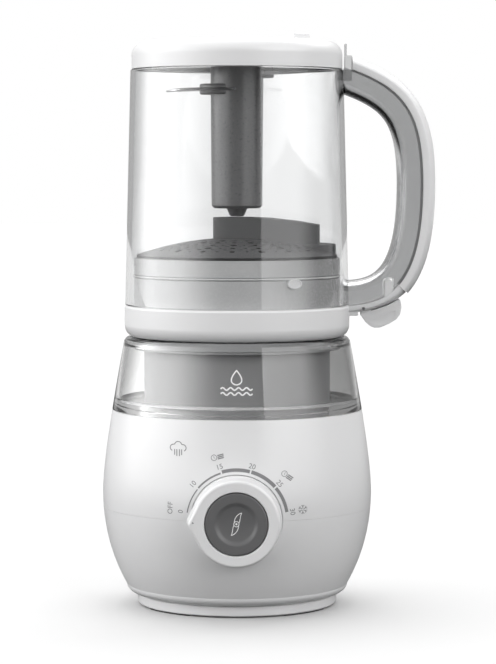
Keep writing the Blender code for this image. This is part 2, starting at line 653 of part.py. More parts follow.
def make_cable():
    """Cable bush, the mains cable wound under the base, and the plug in the middle of the spool."""
    start = Vector((*polar(CORD_OUTER, BUSH_ANGLE), 0.0205))
    bush = turned(
        "cable_bush",
        [(0.0031, 0.0128), (0.0046, 0.0128), (0.0046, 0.0137),
         (0.0042, 0.0137), (0.0042, 0.0192), (0.0031, 0.0192)],
        "rubber",
        SMALL,
    )
    moved(bush, Matrix.Translation((start.x, start.y, 0)))
    turns, steps, rise = 3, 16, 1
    way = [start, Vector((start.x, start.y, 0.0118)), Vector((*polar(CORD_OUTER, BUSH_ANGLE + 5), 0.0092))]
    for i in range(rise, turns * steps - 6):
        angle = BUSH_ANGLE + 360 * i / steps
        radius = CORD_OUTER - (CORD_OUTER - CORD_INNER) * max(0, i - steps) / (2 * steps - 8)
        way.append(Vector((*polar(radius, angle), CORD_Z)))
    leave, heading = way[-1], (way[-1] - way[-2]).normalized()
    back = Vector((-0.0225, 0, 0.0072))
    bend = [leave, leave + heading * 0.019, back - Vector((0.016, 0, 0)), back]
    way += [bezier(bend, i / 8) for i in range(1, 9)]
    cable = tube_along("mains_cable", way, CORD_RADIUS, "rubber", 6)
    corners = [(-0.0222, 0.0042, 0.001), (-0.014, 0.0060, 0.004)]
    corners += [(-0.006, 0.0125, 0.004), (0.004, 0.0140, 0.003)]
    outline = filleted(corners + [(x, -y, r) for x, y, r in corners[::-1]], 2)
    plug = prism("mains_plug", outline, 0.0012, 0.0130, "rubber")
    for side in (-1, 1):
        pin = cylinder("pin", 0.0020, 0.0030, 0.0225, sides=TINY)
        add(plug, moved(pin, Matrix.Translation((0, side * 0.0093, 0.0070)) @ turn(90, "Y")))
    return [bush, cable, plug]


# ---- the jar's lid, under the jar -----------------------------------------------------------------------
def handle_place(t, lower):
    """(point, outward normal) on the line where the handle's clear core meets its white outside."""
    curve = HANDLE_BOTTOM if lower else HANDLE_TOP
    along = bezier_slope(curve, t)
    return bezier(curve, t), Vector((-along.y, along.x))


def handle_stations(first, last, top_count, bottom_count):
    """Places down the handle, from a point on the upper curve to a point on the lower one."""
    places = [handle_place(first + (1 - first) * i / top_count, False) for i in range(top_count)]
    places += [handle_place(last * i / bottom_count, True) for i in range(bottom_count + 1)]
    return places


def sweep_handle(name, places, section, material):
    """Skins a section of (across, outward) points along the handle's places."""
    loops = []
    for point, out in places:
        loops.append([(point.x + out.x * d, y, point.y + out.y * d) for y, d in section])
    return skin(name, loops, material)


def crown(half_width, near, shoulder, far, steps=5):
    """A handle section: square at near, rounded from shoulder to far."""
    round_side = arc((0, shoulder), (half_width, far - shoulder), 0, 180, steps)
    return [(half_width, near)] + round_side + [(-half_width, near)]


def arm_depth(t):
    """How deep the lid's arm is at a place on the lower handle curve: it thins towards the lid."""
    share = min(1.0, (t - COVER_END) / (0.8 - COVER_END))
    return ARM_DEPTH + (ARM_DEPTH_AT_LID - ARM_DEPTH) * share


def make_arm():
    loops = []
    first, count = COVER_END + 0.006, 9
    for i in range(count + 1):
        t = first + (1 - first) * i / count
        point, out = handle_place(t, True)
        section = crown(HANDLE_HALF_WIDTH - 0.0005, GAP / 2, 0.0022, arm_depth(t))
        loops.append([(point.x + out.x * d, y, point.y + out.y * d) for y, d in section])
    return skin("arm", loops, None)


def make_lid():
    """White lid with the well over the drive coupling, the steam inlet, and the arm that meets the handle."""
    under = [(0, 0.1592), (0.0155, 0.1592), (0.0155, 0.1506), (0.0535, 0.1506)]
    under += [(0.0545, LID_BOTTOM_Z), (0.0572, LID_BOTTOM_Z)]
    side = arc((0.0572, 0.1535), (LID_RADIUS - 0.0572, 0.1535 - LID_BOTTOM_Z), -60, 0, 2)
    side += [(LID_RADIUS, LID_TOP_Z - 0.001), (LID_RADIUS - 0.0008, LID_TOP_Z)]
    inside = [(COLLAR_RADIUS + GAP, LID_TOP_Z), (COLLAR_RADIUS + GAP, LID_FLOOR_Z), (0.0175, LID_FLOOR_Z)]
    inside += [(0.0175, 0.1615), (0, 0.1615)]
    lid = turned("jar_lid", under + side + inside, "white_plastic")
    key_corners = [(0.0819, 0.168, 0), (0.0861, 0.1707, 0), (0.0861, 0.1784, 0.0020), (0.0819, 0.1784, 0.0020)]
    key = side_prism("key", filleted(key_corners, 3), HANDLE_HALF_WIDTH - 0.0015)
    root = box("root", (0.0600, -0.0080, 0.1584), (0.0672, 0.0080, 0.1622))
    add(lid, make_arm(), key, root)
    x, z = LEVER_PIVOT
    pin_hole = cylinder("pin_hole", 0.0010, -0.02, 0.02, sides=TINY)
    reach = LEVER_HALF_WIDTH + GAP
    slot = box("slot", (x - 0.0032, -reach, 0.150), (x + 0.0040, reach, z + 0.0018))
    cut(lid, moved(pin_hole, Matrix.Translation((x, 0, z)) @ turn(90, "X")), slot)
    inlet = cylinder("inlet", 0.0052, 0.145, 0.156, TANK_CAP_AT, sides=SMALL)
    pin_pocket = cylinder("pin_pocket", 0.0028, 0.145, 0.1517, INTERLOCK_AT, sides=TINY)
    return cut(lid, inlet, pin_pocket)


def make_collar():
    """Frosted cup wall that plugs the jar's mouth and carries the strainer."""
    low, lip = LID_FLOOR_Z + GAP, COLLAR_TOP_Z - 0.0018
    outline = [(0.0550, low), (COLLAR_RADIUS, low)]
    outline += [(COLLAR_RADIUS, SEAL_Z - 0.0042), (0.0560, SEAL_Z - 0.0040)]
    outline += [(0.0560, SEAL_Z), (COLLAR_RADIUS, SEAL_Z + 0.0002), (COLLAR_RADIUS, COLLAR_TOP_Z)]
    outline += [(0.0520, COLLAR_TOP_Z), (0.0520, lip), (0.0542, lip - 0.002)]
    collar = turned("lid_collar", outline, "frosted_plastic")
    boss = cylinder("boss", 0.0036, 0.0555, 0.0579, sides=SMALL)
    return add(collar, moved(boss, Matrix.Translation((0, 0, 0.1735)) @ turn(32) @ turn(90, "X")))


def make_lid_seal():
    low, high = SEAL_Z - 0.0037, SEAL_Z - 0.0003
    outline = [(0.0563, low), (0.0578, low), (0.0587, (low + high) / 2), (0.0578, high), (0.0563, high)]
    return turned("lid_seal", outline, "silicone")


def make_steam_duct():
    """Sloped hood that leads steam from the inlet up to the strainer's hump."""
    left, right, near, far, wall = -0.008, 0.040, 0.0185, 0.0340, 0.0014
    low, slope = LID_FLOOR_Z + GAP, 0.34
    rise = slope * (right - left)

    def wedge(name, inset, bottom, drop):
        x0, x1 = left + inset, right - inset
        top0 = 0.1696 - drop
        outline = [(x0, bottom), (x1, bottom), (x1, top0 + rise - slope * inset), (x0, top0 + slope * inset)]
        solid = side_prism(name, outline, (far - near) / 2 - inset)
        return moved(solid, Matrix.Translation((0, (near + far) / 2, 0)))

    duct = wedge("steam_duct", 0.0, low, 0.0)
    duct.data.materials.append(paint("frosted_plastic"))
    cut(duct, wedge("inside", wall, low - 0.01, wall))
    return cut(duct, box("mouth", (0.029, near + 0.004, 0.175), (0.037, far - 0.004, 0.195)))


def make_lever():
    """Thumb lever under the lid's arm, hinged at its inner end."""
    x, z = LEVER_PIVOT
    outline = arc((x, z), 0.0015, 100, 205, 4)
    outline += [(0.0687, 0.1584), (0.0712, 0.1549), (0.0736, 0.1527), (0.0761, 0.1516), (0.0794, 0.1517)]
    outline += [(0.0842, 0.1537), (0.0884, 0.1562), (0.0904, 0.1590), (0.0913, 0.1630)]
    for t in (0.655, 0.70, 0.75, 0.80, 0.85):
        point, out = handle_place(t, True)
        place = point + out * (arm_depth(t) + 0.0008)
        outline.append((place.x, place.y))
    lever = side_prism("lid_lever", outline, LEVER_HALF_WIDTH, "white_plastic")
    hole = cylinder("hole", 0.0009, -0.02, 0.02, sides=TINY)
    cut(lever, moved(hole, Matrix.Translation((x, 0, z)) @ turn(90, "X")))
    pin = cylinder("lever_pin", 0.0007, -0.0079, 0.0079, material="steel", sides=TINY)
    moved(pin, Matrix.Translation((x, 0, z)) @ turn(90, "X"))
    return lever, pin


# ---- the strainer ---------------------------------------------------------------------------------------
def dome_height(r, drop=0.0):
    """Top of the strainer's plate at a radius."""
    return STRAINER_EDGE_Z + STRAINER_RISE * (1 - (r / STRAINER_RADIUS) ** 2) - drop


def quadrant(side, reach):
    """Plan of the back-right part of the strainer, with its corner rounded about the axis."""
    swing = math.degrees(math.asin(side / reach))
    return arc((0, 0), side, 180, 270, 4) + arc((0, 0), reach, -swing, 90 + swing, 11)


def strainer_holes():
    """Rings of small holes in the plate, missing out the raised quadrant."""
    tools = []
    for ring_radius in (0.0225, 0.0310, 0.0395, 0.0465):
        count = round(math.tau * ring_radius / 0.0125)
        for i in range(count):
            angle = math.tau * i / count
            x, y = ring_radius * math.cos(angle), ring_radius * math.sin(angle)
            if x > -HUMP_CORNER - 0.003 and y > -HUMP_CORNER - 0.003:
                continue
            tools.append(cylinder("hole", 0.0014, 0.17, 0.22, (x, y), sides=6))
    return many("holes", tools)


def make_strainer():
    """Domed perforated plate with a raised steam hump over one quarter."""
    radii = [0.0, 0.014, 0.028, 0.042, 0.050, STRAINER_RADIUS]
    seat = COLLAR_TOP_Z + GAP
    outline = [(r, dome_height(r)) for r in radii]
    outline += [(STRAINER_RADIUS, seat), (0.0508, seat), (0.0508, 0.1875), (0.0490, 0.1875)]
    outline += [(r, dome_height(r, STRAINER_SKIN)) for r in (0.0490, 0.042, 0.028, 0.014, 0.0)]
    plate = turned("strainer", outline, "dark_grey_plastic")
    top = [(0, 0.18), (0.060, 0.18), (0.060, 0.2065), (HUMP_REACH, 0.2088), (0.020, 0.2124), (0, HUMP_Z)]
    under = [(0, 0.17), (0.060, 0.17)] + [(r, z - STRAINER_SKIN) for r, z in top[2:]]
    block = prism("hump", quadrant(HUMP_CORNER, HUMP_REACH), 0.195, 0.22)
    hump = combine(block, turned("limit", top), "INTERSECT")
    inner = quadrant(HUMP_CORNER - STRAINER_SKIN, HUMP_REACH - STRAINER_SKIN)
    room = combine(prism("room", inner, 0.185, 0.22), turned("limit", under), "INTERSECT")
    step = prism("step", quadrant(HUMP_CORNER + 0.0008, STRAINER_RADIUS - 0.0008), 0.1914, STEP_Z)
    under_step = prism("under_step", quadrant(HUMP_CORNER - 0.0010, 0.0478), 0.180, STEP_Z - STRAINER_SKIN)
    add(plate, step, hump)
    cut(plate, room, under_step, strainer_holes())
    return cut(plate, cylinder("socket", 0.0052, HUMP_Z - 0.0010, 0.23, sides=SMALL))


# ---- the jar --------------------------------------------------------------------------------------------
def make_jar():
    """Clear jar, open downwards, moulded in one piece with the channel of its handle."""
    outside = [(0, JAR_BOTTOM_Z), (JAR_BOTTOM_RADIUS, JAR_BOTTOM_Z), (JAR_TOP_RADIUS, JAR_SHOULDER_Z)]
    outside += [(JAR_NECK_RADIUS, JAR_SHOULDER_Z), (JAR_NECK_RADIUS, 0.3008)]
    outside += [(0.0540, JAR_TOP_Z), (0, JAR_TOP_Z)]
    jar = turned("jar", outside, "clear_plastic")
    wall, gap = 0.0024, GAP / 2
    half = HANDLE_HALF_WIDTH
    outer = crown(half, -gap, -0.0085, -HANDLE_CORE_DEPTH, 6)
    inner = crown(half - wall, -gap, -0.0080, wall - HANDLE_CORE_DEPTH, 6)
    places = handle_stations(0.0, 1.0, 10, 10)
    start, out = places[0]
    along = bezier_slope(HANDLE_TOP, 0.0)
    places.insert(0, (start - along * 0.0075, out))
    core = sweep_handle("core", places, outer + inner[::-1], None)
    cut(core, box("top_cut", (0.03, -0.03, JAR_SHOULDER_Z - 0.0005), (JAR_TOP_RADIUS + 0.0003, 0.03, 0.32)))
    lug_x = (JAR_TOP_RADIUS - 0.0020, JAR_TOP_RADIUS + 0.0002, JAR_TOP_RADIUS + 0.0017, COVER_START_X - GAP)
    add(jar, core, box("root", (lug_x[0], -0.0070, 0.2850), (lug_x[3], 0.0070, JAR_SHOULDER_Z - 0.0010)))
    add(jar, box("key", (lug_x[1] + 0.0003, -0.0066, 0.2880), (lug_x[3] - 0.0001, 0.0070, 0.3020)))
    add(jar, box("fin", (lug_x[1] + 0.0005, -0.0040, 0.2960), (lug_x[2], 0.0040, 0.3085)))
    cavity = [(0, 0.150), (JAR_BOTTOM_RADIUS - JAR_WALL, 0.150), (JAR_BOTTOM_RADIUS - JAR_WALL, JAR_BOTTOM_Z)]
    cavity += [(jar_radius(0.286) - JAR_WALL, 0.286), (0.0535, 0.2935)]
    cavity += [(0.0535, 0.2985), (0.0510, JAR_INSIDE_TOP_Z)]
    cut(jar, turned("cavity", cavity + [(0, JAR_INSIDE_TOP_Z)]))
    key_slot = box("key_slot", (0.0814, -0.02, 0.16), (0.0866, 0.02, 0.1791))
    return cut(jar, key_slot, cylinder("spindle_hole", 0.0070, 0.29, 0.31, sides=SMALL))


def make_handle_cover():
    """White outer strip that closes the handle's channel."""
    gap = GAP / 2
    places = handle_stations(0.0, COVER_END - 0.003, 10, 7)
    start, out = places[0]
    places.insert(0, (start - bezier_slope(HANDLE_TOP, 0.0) * 0.006, out))
    section = crown(HANDLE_HALF_WIDTH, gap, 0.003, HANDLE_COVER_DEPTH)
    cover = sweep_handle("handle_cover", places, section, "white_plastic")
    return cut(cover, box("trim", (0.03, -0.03, 0.28), (COVER_START_X, 0.03, 0.32)))


def make_drive_cap():
    """White cap over the jar's closed end, open in the middle for the blade coupling."""
    outer = [(CAP_RADIUS, CAP_BOTTOM_Z)]
    corner = (CAP_RADIUS - CAP_ROUNDING, CAP_TOP_Z - CAP_ROUNDING)
    outer += arc(corner, CAP_ROUNDING, 0, 90, 4)
    middle = [(0.0160, CAP_TOP_Z), (0.0130, CAP_TOP_Z - 0.001), (0.0130, 0.3040)]
    middle += [(0.0150, 0.3040), (0.0150, 0.3078)]
    inner = [(corner[0], 0.3078), (0.0552, 0.3045), (0.0563, 0.3015), (0.0563, CAP_BOTTOM_Z)]
    cap = turned("drive_cap", outer + middle + inner, "white_plastic")
    for angle in (-37, 143):
        outline = arc((0, 0), 0.0450, -9.5, 9.5, 3) + arc((0, 0), 0.0400, 9.5, -9.5, 3)
        add(cap, moved(prism("lug", outline, CAP_TOP_Z - 0.001, CAP_TOP_Z + LUG_HEIGHT), turn(angle)))
    return cap


# ---- the blade unit -------------------------------------------------------------------------------------
def make_sleeve():
    """Dark sleeve that hangs down the middle of the jar, with two slotted holders for the blades."""
    outline = [(0, NUB_TIP_Z), (0.0034, NUB_TIP_Z), (0.0042, NUB_TIP_Z + 0.0008), (0.0058, SLEEVE_BOTTOM_Z)]
    outline += [(0.0125, SLEEVE_BOTTOM_Z), (0.0141, SLEEVE_BOTTOM_Z + 0.0014), (SLEEVE_RADIUS, 0.300)]
    outline += [(0.0115, 0.300), (0.0112, 0.2210), (0, 0.2210)]
    sleeve = turned("blade_sleeve", outline, "dark_grey_plastic", MEDIUM)
    for side, z in ((-1, LOWER_BLADE_Z), (1, UPPER_BLADE_Z)):
        holder = cylinder("holder", 0.0106, z - 0.0030, z + 0.0030, (side * 0.0100, side * 0.0035))
        cut(holder, cylinder("inside", 0.0131, 0.2, 0.32))
        slot = ring("slot", 0.0150, 0.0300, z - BLADE_THICKNESS / 2 - GAP, z + BLADE_THICKNESS / 2 + GAP)
        add(sleeve, cut(holder, slot))
    return sleeve


def blade_outline():
    """Plan of one scimitar blade: round the front of the sleeve, then out to a point on the left."""
    outer = arc((-0.0105, 0.0015), (0.0290, 0.0200), 285, 184, 9)
    inner = arc((0, 0), 0.0152, 178, 268, 8)
    return outer + [(-BLADE_REACH, 0.0022)] + [(-0.026, 0.0005)] + inner


def make_blades():
    lower = prism("lower_blade", blade_outline(), -BLADE_THICKNESS / 2, BLADE_THICKNESS / 2, "steel")
    upper = bpy.data.objects.new("upper_blade", lower.data)
    bpy.context.scene.collection.objects.link(upper)
    lower.location.z = LOWER_BLADE_Z
    upper.location.z = UPPER_BLADE_Z
    upper.rotation_euler.z = math.pi
    return [lower, upper]


def make_blade_drive():
    spindle = cylinder("blade_spindle", 0.0040, 0.2215, 0.3055, material="steel", sides=SMALL)
    coupling = turned(
        "blade_coupling",
        [(0.0043, 0.3040), (0.0108, 0.3040), (0.0108, 0.3062), (0, 0.3066), (0, 0.3058), (0.0043, 0.3058)],
        "dark_grey_plastic",
        MEDIUM,
    )
    for i in range(4):
        add(coupling, moved(box("dog", (0.0055, -0.0015, 0.3055), (0.0102, 0.0015, 0.3092)), turn(i * 90)))
    seal = ring("spindle_seal", 0.0043, 0.0067, JAR_INSIDE_TOP_Z, JAR_TOP_Z, "silicone", SMALL)
    return spindle, coupling, seal


# ---- putting it together --------------------------------------------------------------------------------
def body(name, pivot, objects, parent=None):
    """An empty on the joint's axis that carries the objects which move as one."""
    carrier = bpy.data.objects.new(name, None)
    carrier.location = pivot
    carrier.empty_display_size = 0.02
    bpy.context.scene.collection.objects.link(carrier)
    bpy.context.view_layer.update()
    for held in [*objects, carrier]:
        above = carrier if held is not carrier else parent
        if above:
            held.parent = above
            held.matrix_parent_inverse = above.matrix_world.inverted()
    bpy.context.view_layer.update()
    return carrier


def middle_of_underside():
    """The middle of the assembly's bounding box, at its lowest height."""
    bpy.context.view_layer.update()
    solids = [obj for obj in bpy.data.objects if obj.type == "MESH"]
    points = [obj.matrix_world @ vertex.co for obj in solids for vertex in obj.data.vertices]
    low, high = ([pick(p[axis] for p in points) for axis in range(3)] for pick in (min, max))
    return Vector(((low[0] + high[0]) / 2, (low[1] + high[1]) / 2, low[2]))


def main():
    for old in list(bpy.data.objects):
        bpy.data.objects.remove(old)

    gasket = ring("tank_gasket", 0.0530, 0.0600, 0.1048, 0.1060, "silicone", MEDIUM)
    fixed = [make_lower_shell(), make_upper_shell(), make_bottom_cover()]
    fixed += [make_tank_window(), make_tank_core(), gasket, make_deck(), make_bezel()]
    fixed += make_screws() + make_foot_pads() + make_motor()
    fixed += make_heater() + make_controls() + make_cable()
    fixed += [make_button_spring(), make_interlock_switch()]
    base = body("base", (0, 0, 0), fixed)
    body("rotor", (0, 0, 0.05), make_rotor(), base)
    body("dial", (0, 0, KNOB_Z), make_dial(), base)
    body("button", (0, -KNOB_FACE, KNOB_Z), [make_button()], base)
    body("filler_plug", (*TANK_CAP_AT, DECK_TOP_Z), [make_tank_cap()], base)
    body("interlock", (*INTERLOCK_AT, 0.1470), [make_interlock()], base)

    lever, pin = make_lever()
    lid_pieces = [make_lid(), make_collar(), make_lid_seal(), make_steam_duct(), pin]
    lid = body("lid", (0, 0, LID_BOTTOM_Z), lid_pieces, base)
    body("lever", (LEVER_PIVOT[0], 0, LEVER_PIVOT[1]), [lever], lid)
    plate = body("strainer_plate", (0, 0, STRAINER_EDGE_Z), [make_strainer()], lid)
    spindle, coupling, seal = make_blade_drive()
    jar_pieces = [make_jar(), make_handle_cover(), make_drive_cap(), seal]
    jar = body("jar_body", (0, 0, JAR_BOTTOM_Z), jar_pieces, plate)
    body("blade_unit", (0, 0, LOWER_BLADE_Z), [make_sleeve(), *make_blades(), spindle, coupling], jar)
    base.location = -middle_of_underside()


main()
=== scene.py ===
"""Looks of the baby food maker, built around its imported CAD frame.

Every piece is drawn round the base's vertical axis, with heights above ORIGIN. settle() then moves it on to
the frame, hands it to its body and lets it stand for its CAD node. Metres, +Z up, dial to -Y.
"""

import json
import math

import bmesh
import bpy
from mathutils import Matrix, Vector


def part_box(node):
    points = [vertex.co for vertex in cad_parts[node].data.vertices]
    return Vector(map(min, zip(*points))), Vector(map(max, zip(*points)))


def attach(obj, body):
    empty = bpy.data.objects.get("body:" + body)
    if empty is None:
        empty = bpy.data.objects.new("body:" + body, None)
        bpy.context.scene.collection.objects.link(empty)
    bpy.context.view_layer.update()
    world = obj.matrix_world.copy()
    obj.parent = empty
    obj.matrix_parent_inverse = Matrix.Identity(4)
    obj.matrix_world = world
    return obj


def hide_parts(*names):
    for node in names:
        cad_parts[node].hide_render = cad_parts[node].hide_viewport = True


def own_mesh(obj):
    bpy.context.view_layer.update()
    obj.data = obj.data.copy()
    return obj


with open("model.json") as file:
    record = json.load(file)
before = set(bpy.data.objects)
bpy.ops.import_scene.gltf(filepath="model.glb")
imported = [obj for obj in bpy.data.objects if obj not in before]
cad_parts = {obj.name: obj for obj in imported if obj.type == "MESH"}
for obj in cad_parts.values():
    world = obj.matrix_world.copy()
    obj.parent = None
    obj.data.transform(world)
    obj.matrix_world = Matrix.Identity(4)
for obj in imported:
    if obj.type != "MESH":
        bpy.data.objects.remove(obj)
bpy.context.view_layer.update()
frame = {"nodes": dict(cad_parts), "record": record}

# ---- places taken from the frame ------------------------------------------------------------------------
FOOT_BELOW_DATUM = 0.0017
deck_low, deck_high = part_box("deck")
AXIS = (deck_low + deck_high) / 2
ORIGIN = Vector((AXIS.x, AXIS.y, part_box("bottom_cover")[0].z + FOOT_BELOW_DATUM))
TABLE_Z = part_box("foot_pad_1")[0].z


def low(node):
    """Lowest corner of a CAD node, seen from ORIGIN."""
    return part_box(node)[0] - ORIGIN


def high(node):
    """Highest corner of a CAD node, seen from ORIGIN."""
    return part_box(node)[1] - ORIGIN


def middle(node):
    return (low(node) + high(node)) / 2


# ---- driving dimensions ---------------------------------------------------------------------------------
SIDES = 144  # of a large turned piece
FINE = 64  # of a small one
EASE = 0.0004  # rounding of moulded edges
GAP = 0.0003
SEAM_GAP = 0.00006
CASE_WALL = 0.0025
WELD = 1e-6
NOISE_SPREAD = (0.3, 0.7)  # most of a noise pattern lies between these

SEAM_Z = (high("lower_shell").z + low("upper_shell").z) / 2
SHELL_BOTTOM_Z = low("lower_shell").z
SHELL_TOP_Z = high("upper_shell").z
FOOT_BOTTOM_Z = low("bottom_cover").z
FOOT_TOP_Z = 0.0038
FOOT_RADIUS = high("bottom_cover").x
SPOOL_RADIUS = 0.0313
CORD_CEILING_Z = 0.014
BUSH_AT = (0.0463, 330)  # distance and direction of the cable's bush
BUSH_HOLE_RADIUS = 0.0045
SCREW_CIRCLE = 0.0455
BODY_RADIUS = 0.0748
BODY_WIDEST_Z = 0.060
BODY_LOWER_AXIS = 0.090
BODY_EDGE_Z = 0.009
TANK_TOP_Z = high("tank_window").z
TANK_TOP_RADIUS = 0.0625
TANK_WALL = 0.0026
TANK_FLOOR_Z = 0.1108
CORE_RADIUS = 0.0517
POCKET_RADIUS = 0.0125
PIN_WAY_RADIUS = 0.0023
DECK_Z = 0.142
DECK_TOP_Z = 0.1442

KNOB_Z = middle("dial_ring").z
KNOB_FACE = -low("dial_ring").y
KNOB_BACK = -high("dial_ring").y
NOSE_BACK = 0.0746
KNOB_BASE_RADIUS = high("dial_ring").x
KNOB_BORE = 0.0170
KNOB_WEB_BACK, KNOB_WEB_FRONT = 0.0735, 0.0755
NOSE_RADIUS = 0.0037
NOSE_REACH = 0.0257
BUTTON_RADIUS = high("blend_button").x
BUTTON_FRONT = 0.0880
BUTTON_BACK = 0.0842
BUTTON_DISH_RADIUS = 0.0119
SHAFT_TUBE_RADIUS = 0.0045

LID_RADIUS = 0.0625
LID_BOTTOM_Z = low("jar_lid").z
LID_TOP_Z = 0.164
LID_FLOOR_Z = 0.153
COLLAR_RADIUS = 0.0572
COLLAR_TOP_Z = high("lid_collar").z
SEAL_Z = 0.1812

JAR_BOTTOM_Z = LID_TOP_Z + GAP
JAR_BOTTOM_RADIUS = 0.0622
JAR_TOP_RADIUS = 0.0589
JAR_SHOULDER_Z = low("drive_cap").z - GAP
JAR_NECK_RADIUS = 0.056
JAR_TOP_Z = 0.3035
JAR_WALL = 0.0027
JAR_INSIDE_TOP_Z = 0.301  # over the blade unit
JAR_CEILING_Z = 0.2976  # round it
CAP_RADIUS = high("drive_cap").x
CAP_TOP_Z = 0.31
CAP_ROUNDING = 0.008
CAP_CEILING_Z = 0.3078
COUPLING_Z = 0.3040

STRAINER_RADIUS = 0.0557
STRAINER_EDGE_Z = 0.1922
STRAINER_RISE = 0.0093
STRAINER_SKIN = 0.0018
HUMP_Z = high("strainer").z
HUMP_REACH = 0.046
HUMP_CORNER = 0.0133
STEP_Z = 0.198

SLEEVE_RADIUS = 0.0147
SLEEVE_BOTTOM_Z = 0.2178
NUB_TIP_Z = low("blade_sleeve").z
BLADE_REACH = high("upper_blade").x
BLADE_THICKNESS = 0.0016
LOWER_BLADE_Z = middle("lower_blade").z
UPPER_BLADE_Z = middle("upper_blade").z

HANDLE_HALF_WIDTH = 0.010
GAP_STRIP = 0.00009  # half the thickness of the dark strip in the gap between the handle's clear and white parts
HANDLE_CORE_DEPTH = 0.014
HANDLE_COVER_DEPTH = 0.0074
ARM_DEPTH, ARM_DEPTH_AT_LID = 0.0062, 0.0044
COVER_START_X = low("handle_cover").x
COVER_END = 0.6
HANDLE_TOP = [(0.0634, 0.2939), (0.0916, 0.2836), (0.1026, 0.271), (0.1026, 0.231)]
HANDLE_BOTTOM = [(0.1026, 0.231), (0.1026, 0.189), (0.0934, 0.1639), (0.0600, 0.1639)]
LEVER_PIVOT = (middle("lever_pin").x, middle("lever_pin").z)
LEVER_HALF_WIDTH = high("lid_lever").y
CAP_AT = (middle("tank_cap").x, middle("tank_cap").y)
TANK_CAP_RADIUS = 0.0134
INTERLOCK_AT = (middle("interlock_pin").x, middle("interlock_pin").y)

# the printed scale, in the plane of the dial, from the dial's axis
SCALE_RADIUS = 0.0263
SCALE_NUMBERS = {"0": 171.6, "10": 140.4, "15": 107.5, "20": 74, "25": 40.5, "30": 8.2}
SCALE_WIDTHS = [0.0006, 0.0009, 0.0018, 0.0019, 0.0017]
NUMBER_RADIUS = 0.0301
NUMBER_HEIGHT = 0.0038
TANK_MARK_Z = 0.1258
INK = 0.00008  # thickness of the printing


# ---- curves and outlines --------------------------------------------------------------------------------
def bezier(points, t):
    """The place at t from 0 to 1 on the cubic with these four control points."""
    a, b, c, d = (Vector(p) for p in points)
    s = 1 - t
    return a * s**3 + b * 3 * s * s * t + c * 3 * s * t * t + d * t**3


def bezier_slope(points, t):
    a, b, c, d = (Vector(p) for p in points)
    s = 1 - t
    return ((b - a) * s * s + (c - b) * 2 * s * t + (d - c) * t * t).normalized()


def curve(points, steps):
    return [tuple(bezier(points, i / steps)) for i in range(steps + 1)]


def rectangle(left, first, right, last):
    return [(left, first), (right, first), (right, last), (left, last)]


def arc(centre, radius, start, end, steps):
    """Points from start to end degrees; radius may be one number or (across, up)."""
    across, up = radius if isinstance(radius, tuple) else (radius, radius)
    angles = [math.radians(start + (end - start) * i / steps) for i in range(steps + 1)]
    return [(centre[0] + across * math.cos(a), centre[1] + up * math.sin(a)) for a in angles]


def eased(outline, radius=EASE, steps=3, closed=True):
    """The outline with each sharp corner rounded, as far as its neighbours allow."""
    result = []
    for i, point in enumerate(outline):
        here = Vector(point)
        before = Vector(outline[i - 1]) - here
        after = Vector(outline[(i + 1) % len(outline)]) - here
        at_end = not closed and i in (0, len(outline) - 1)
        if at_end or before.angle(after) > math.radians(158):
            result.append(tuple(here))
            continue
        setback = radius / math.tan(before.angle(after) / 2)
        near = here + before.normalized() * min(setback, 0.45 * before.length)
        far = here + after.normalized() * min(setback, 0.45 * after.length)
        for k in range(steps + 1):
            t = k / steps
            place = near * (1 - t) ** 2 + here * 2 * t * (1 - t) + far * t * t
            result.append((place.x, place.y))
    return result


def body_radius(z):
    """Outer radius of the base at a height: an ellipse below the widest point, a flat cubic above it."""
    if z <= BODY_WIDEST_Z:
        return BODY_RADIUS * math.sqrt(1 - ((BODY_WIDEST_Z - z) / BODY_LOWER_AXIS) ** 2)
    side = [
        (BODY_RADIUS, BODY_WIDEST_Z),
        (BODY_RADIUS, BODY_WIDEST_Z + 0.014),
        (TANK_TOP_RADIUS + 0.0088, TANK_TOP_Z - 0.0485),
        (TANK_TOP_RADIUS, TANK_TOP_Z),
    ]
    first, last = 0.0, 1.0
    for _ in range(30):
        half = (first + last) / 2
        first, last = (half, last) if bezier(side, half).y < z else (first, half)
    return bezier(side, first).x


def body_outline(first, last, count, inset=0.0):
    heights = [first + (last - first) * i / count for i in range(count + 1)]
    return [(body_radius(z) - inset, z) for z in heights]


def jar_radius(z):
    share = (z - JAR_BOTTOM_Z) / (JAR_SHOULDER_Z - JAR_BOTTOM_Z)
    return JAR_BOTTOM_RADIUS + (JAR_TOP_RADIUS - JAR_BOTTOM_RADIUS) * share


def polar(radius, degrees):
    return radius * math.cos(math.radians(degrees)), radius * math.sin(math.radians(degrees))


def turn(degrees, axis="Z"):
    return Matrix.Rotation(math.radians(degrees), 4, axis)


# ---- modelling helpers ----------------------------------------------------------------------------------
def shade(obj, degrees=34):
    obj.data.shade_smooth()
    obj.data.set_sharp_from_angle(angle=math.radians(degrees))
    return obj


def as_object(name, mesh):
    bmesh.ops.recalc_face_normals(mesh, faces=mesh.faces)
    data = bpy.data.meshes.new(name)
    mesh.to_mesh(data)
    mesh.free()
    obj = bpy.data.objects.new(name, data)
    bpy.context.scene.collection.objects.link(obj)
    return shade(obj)


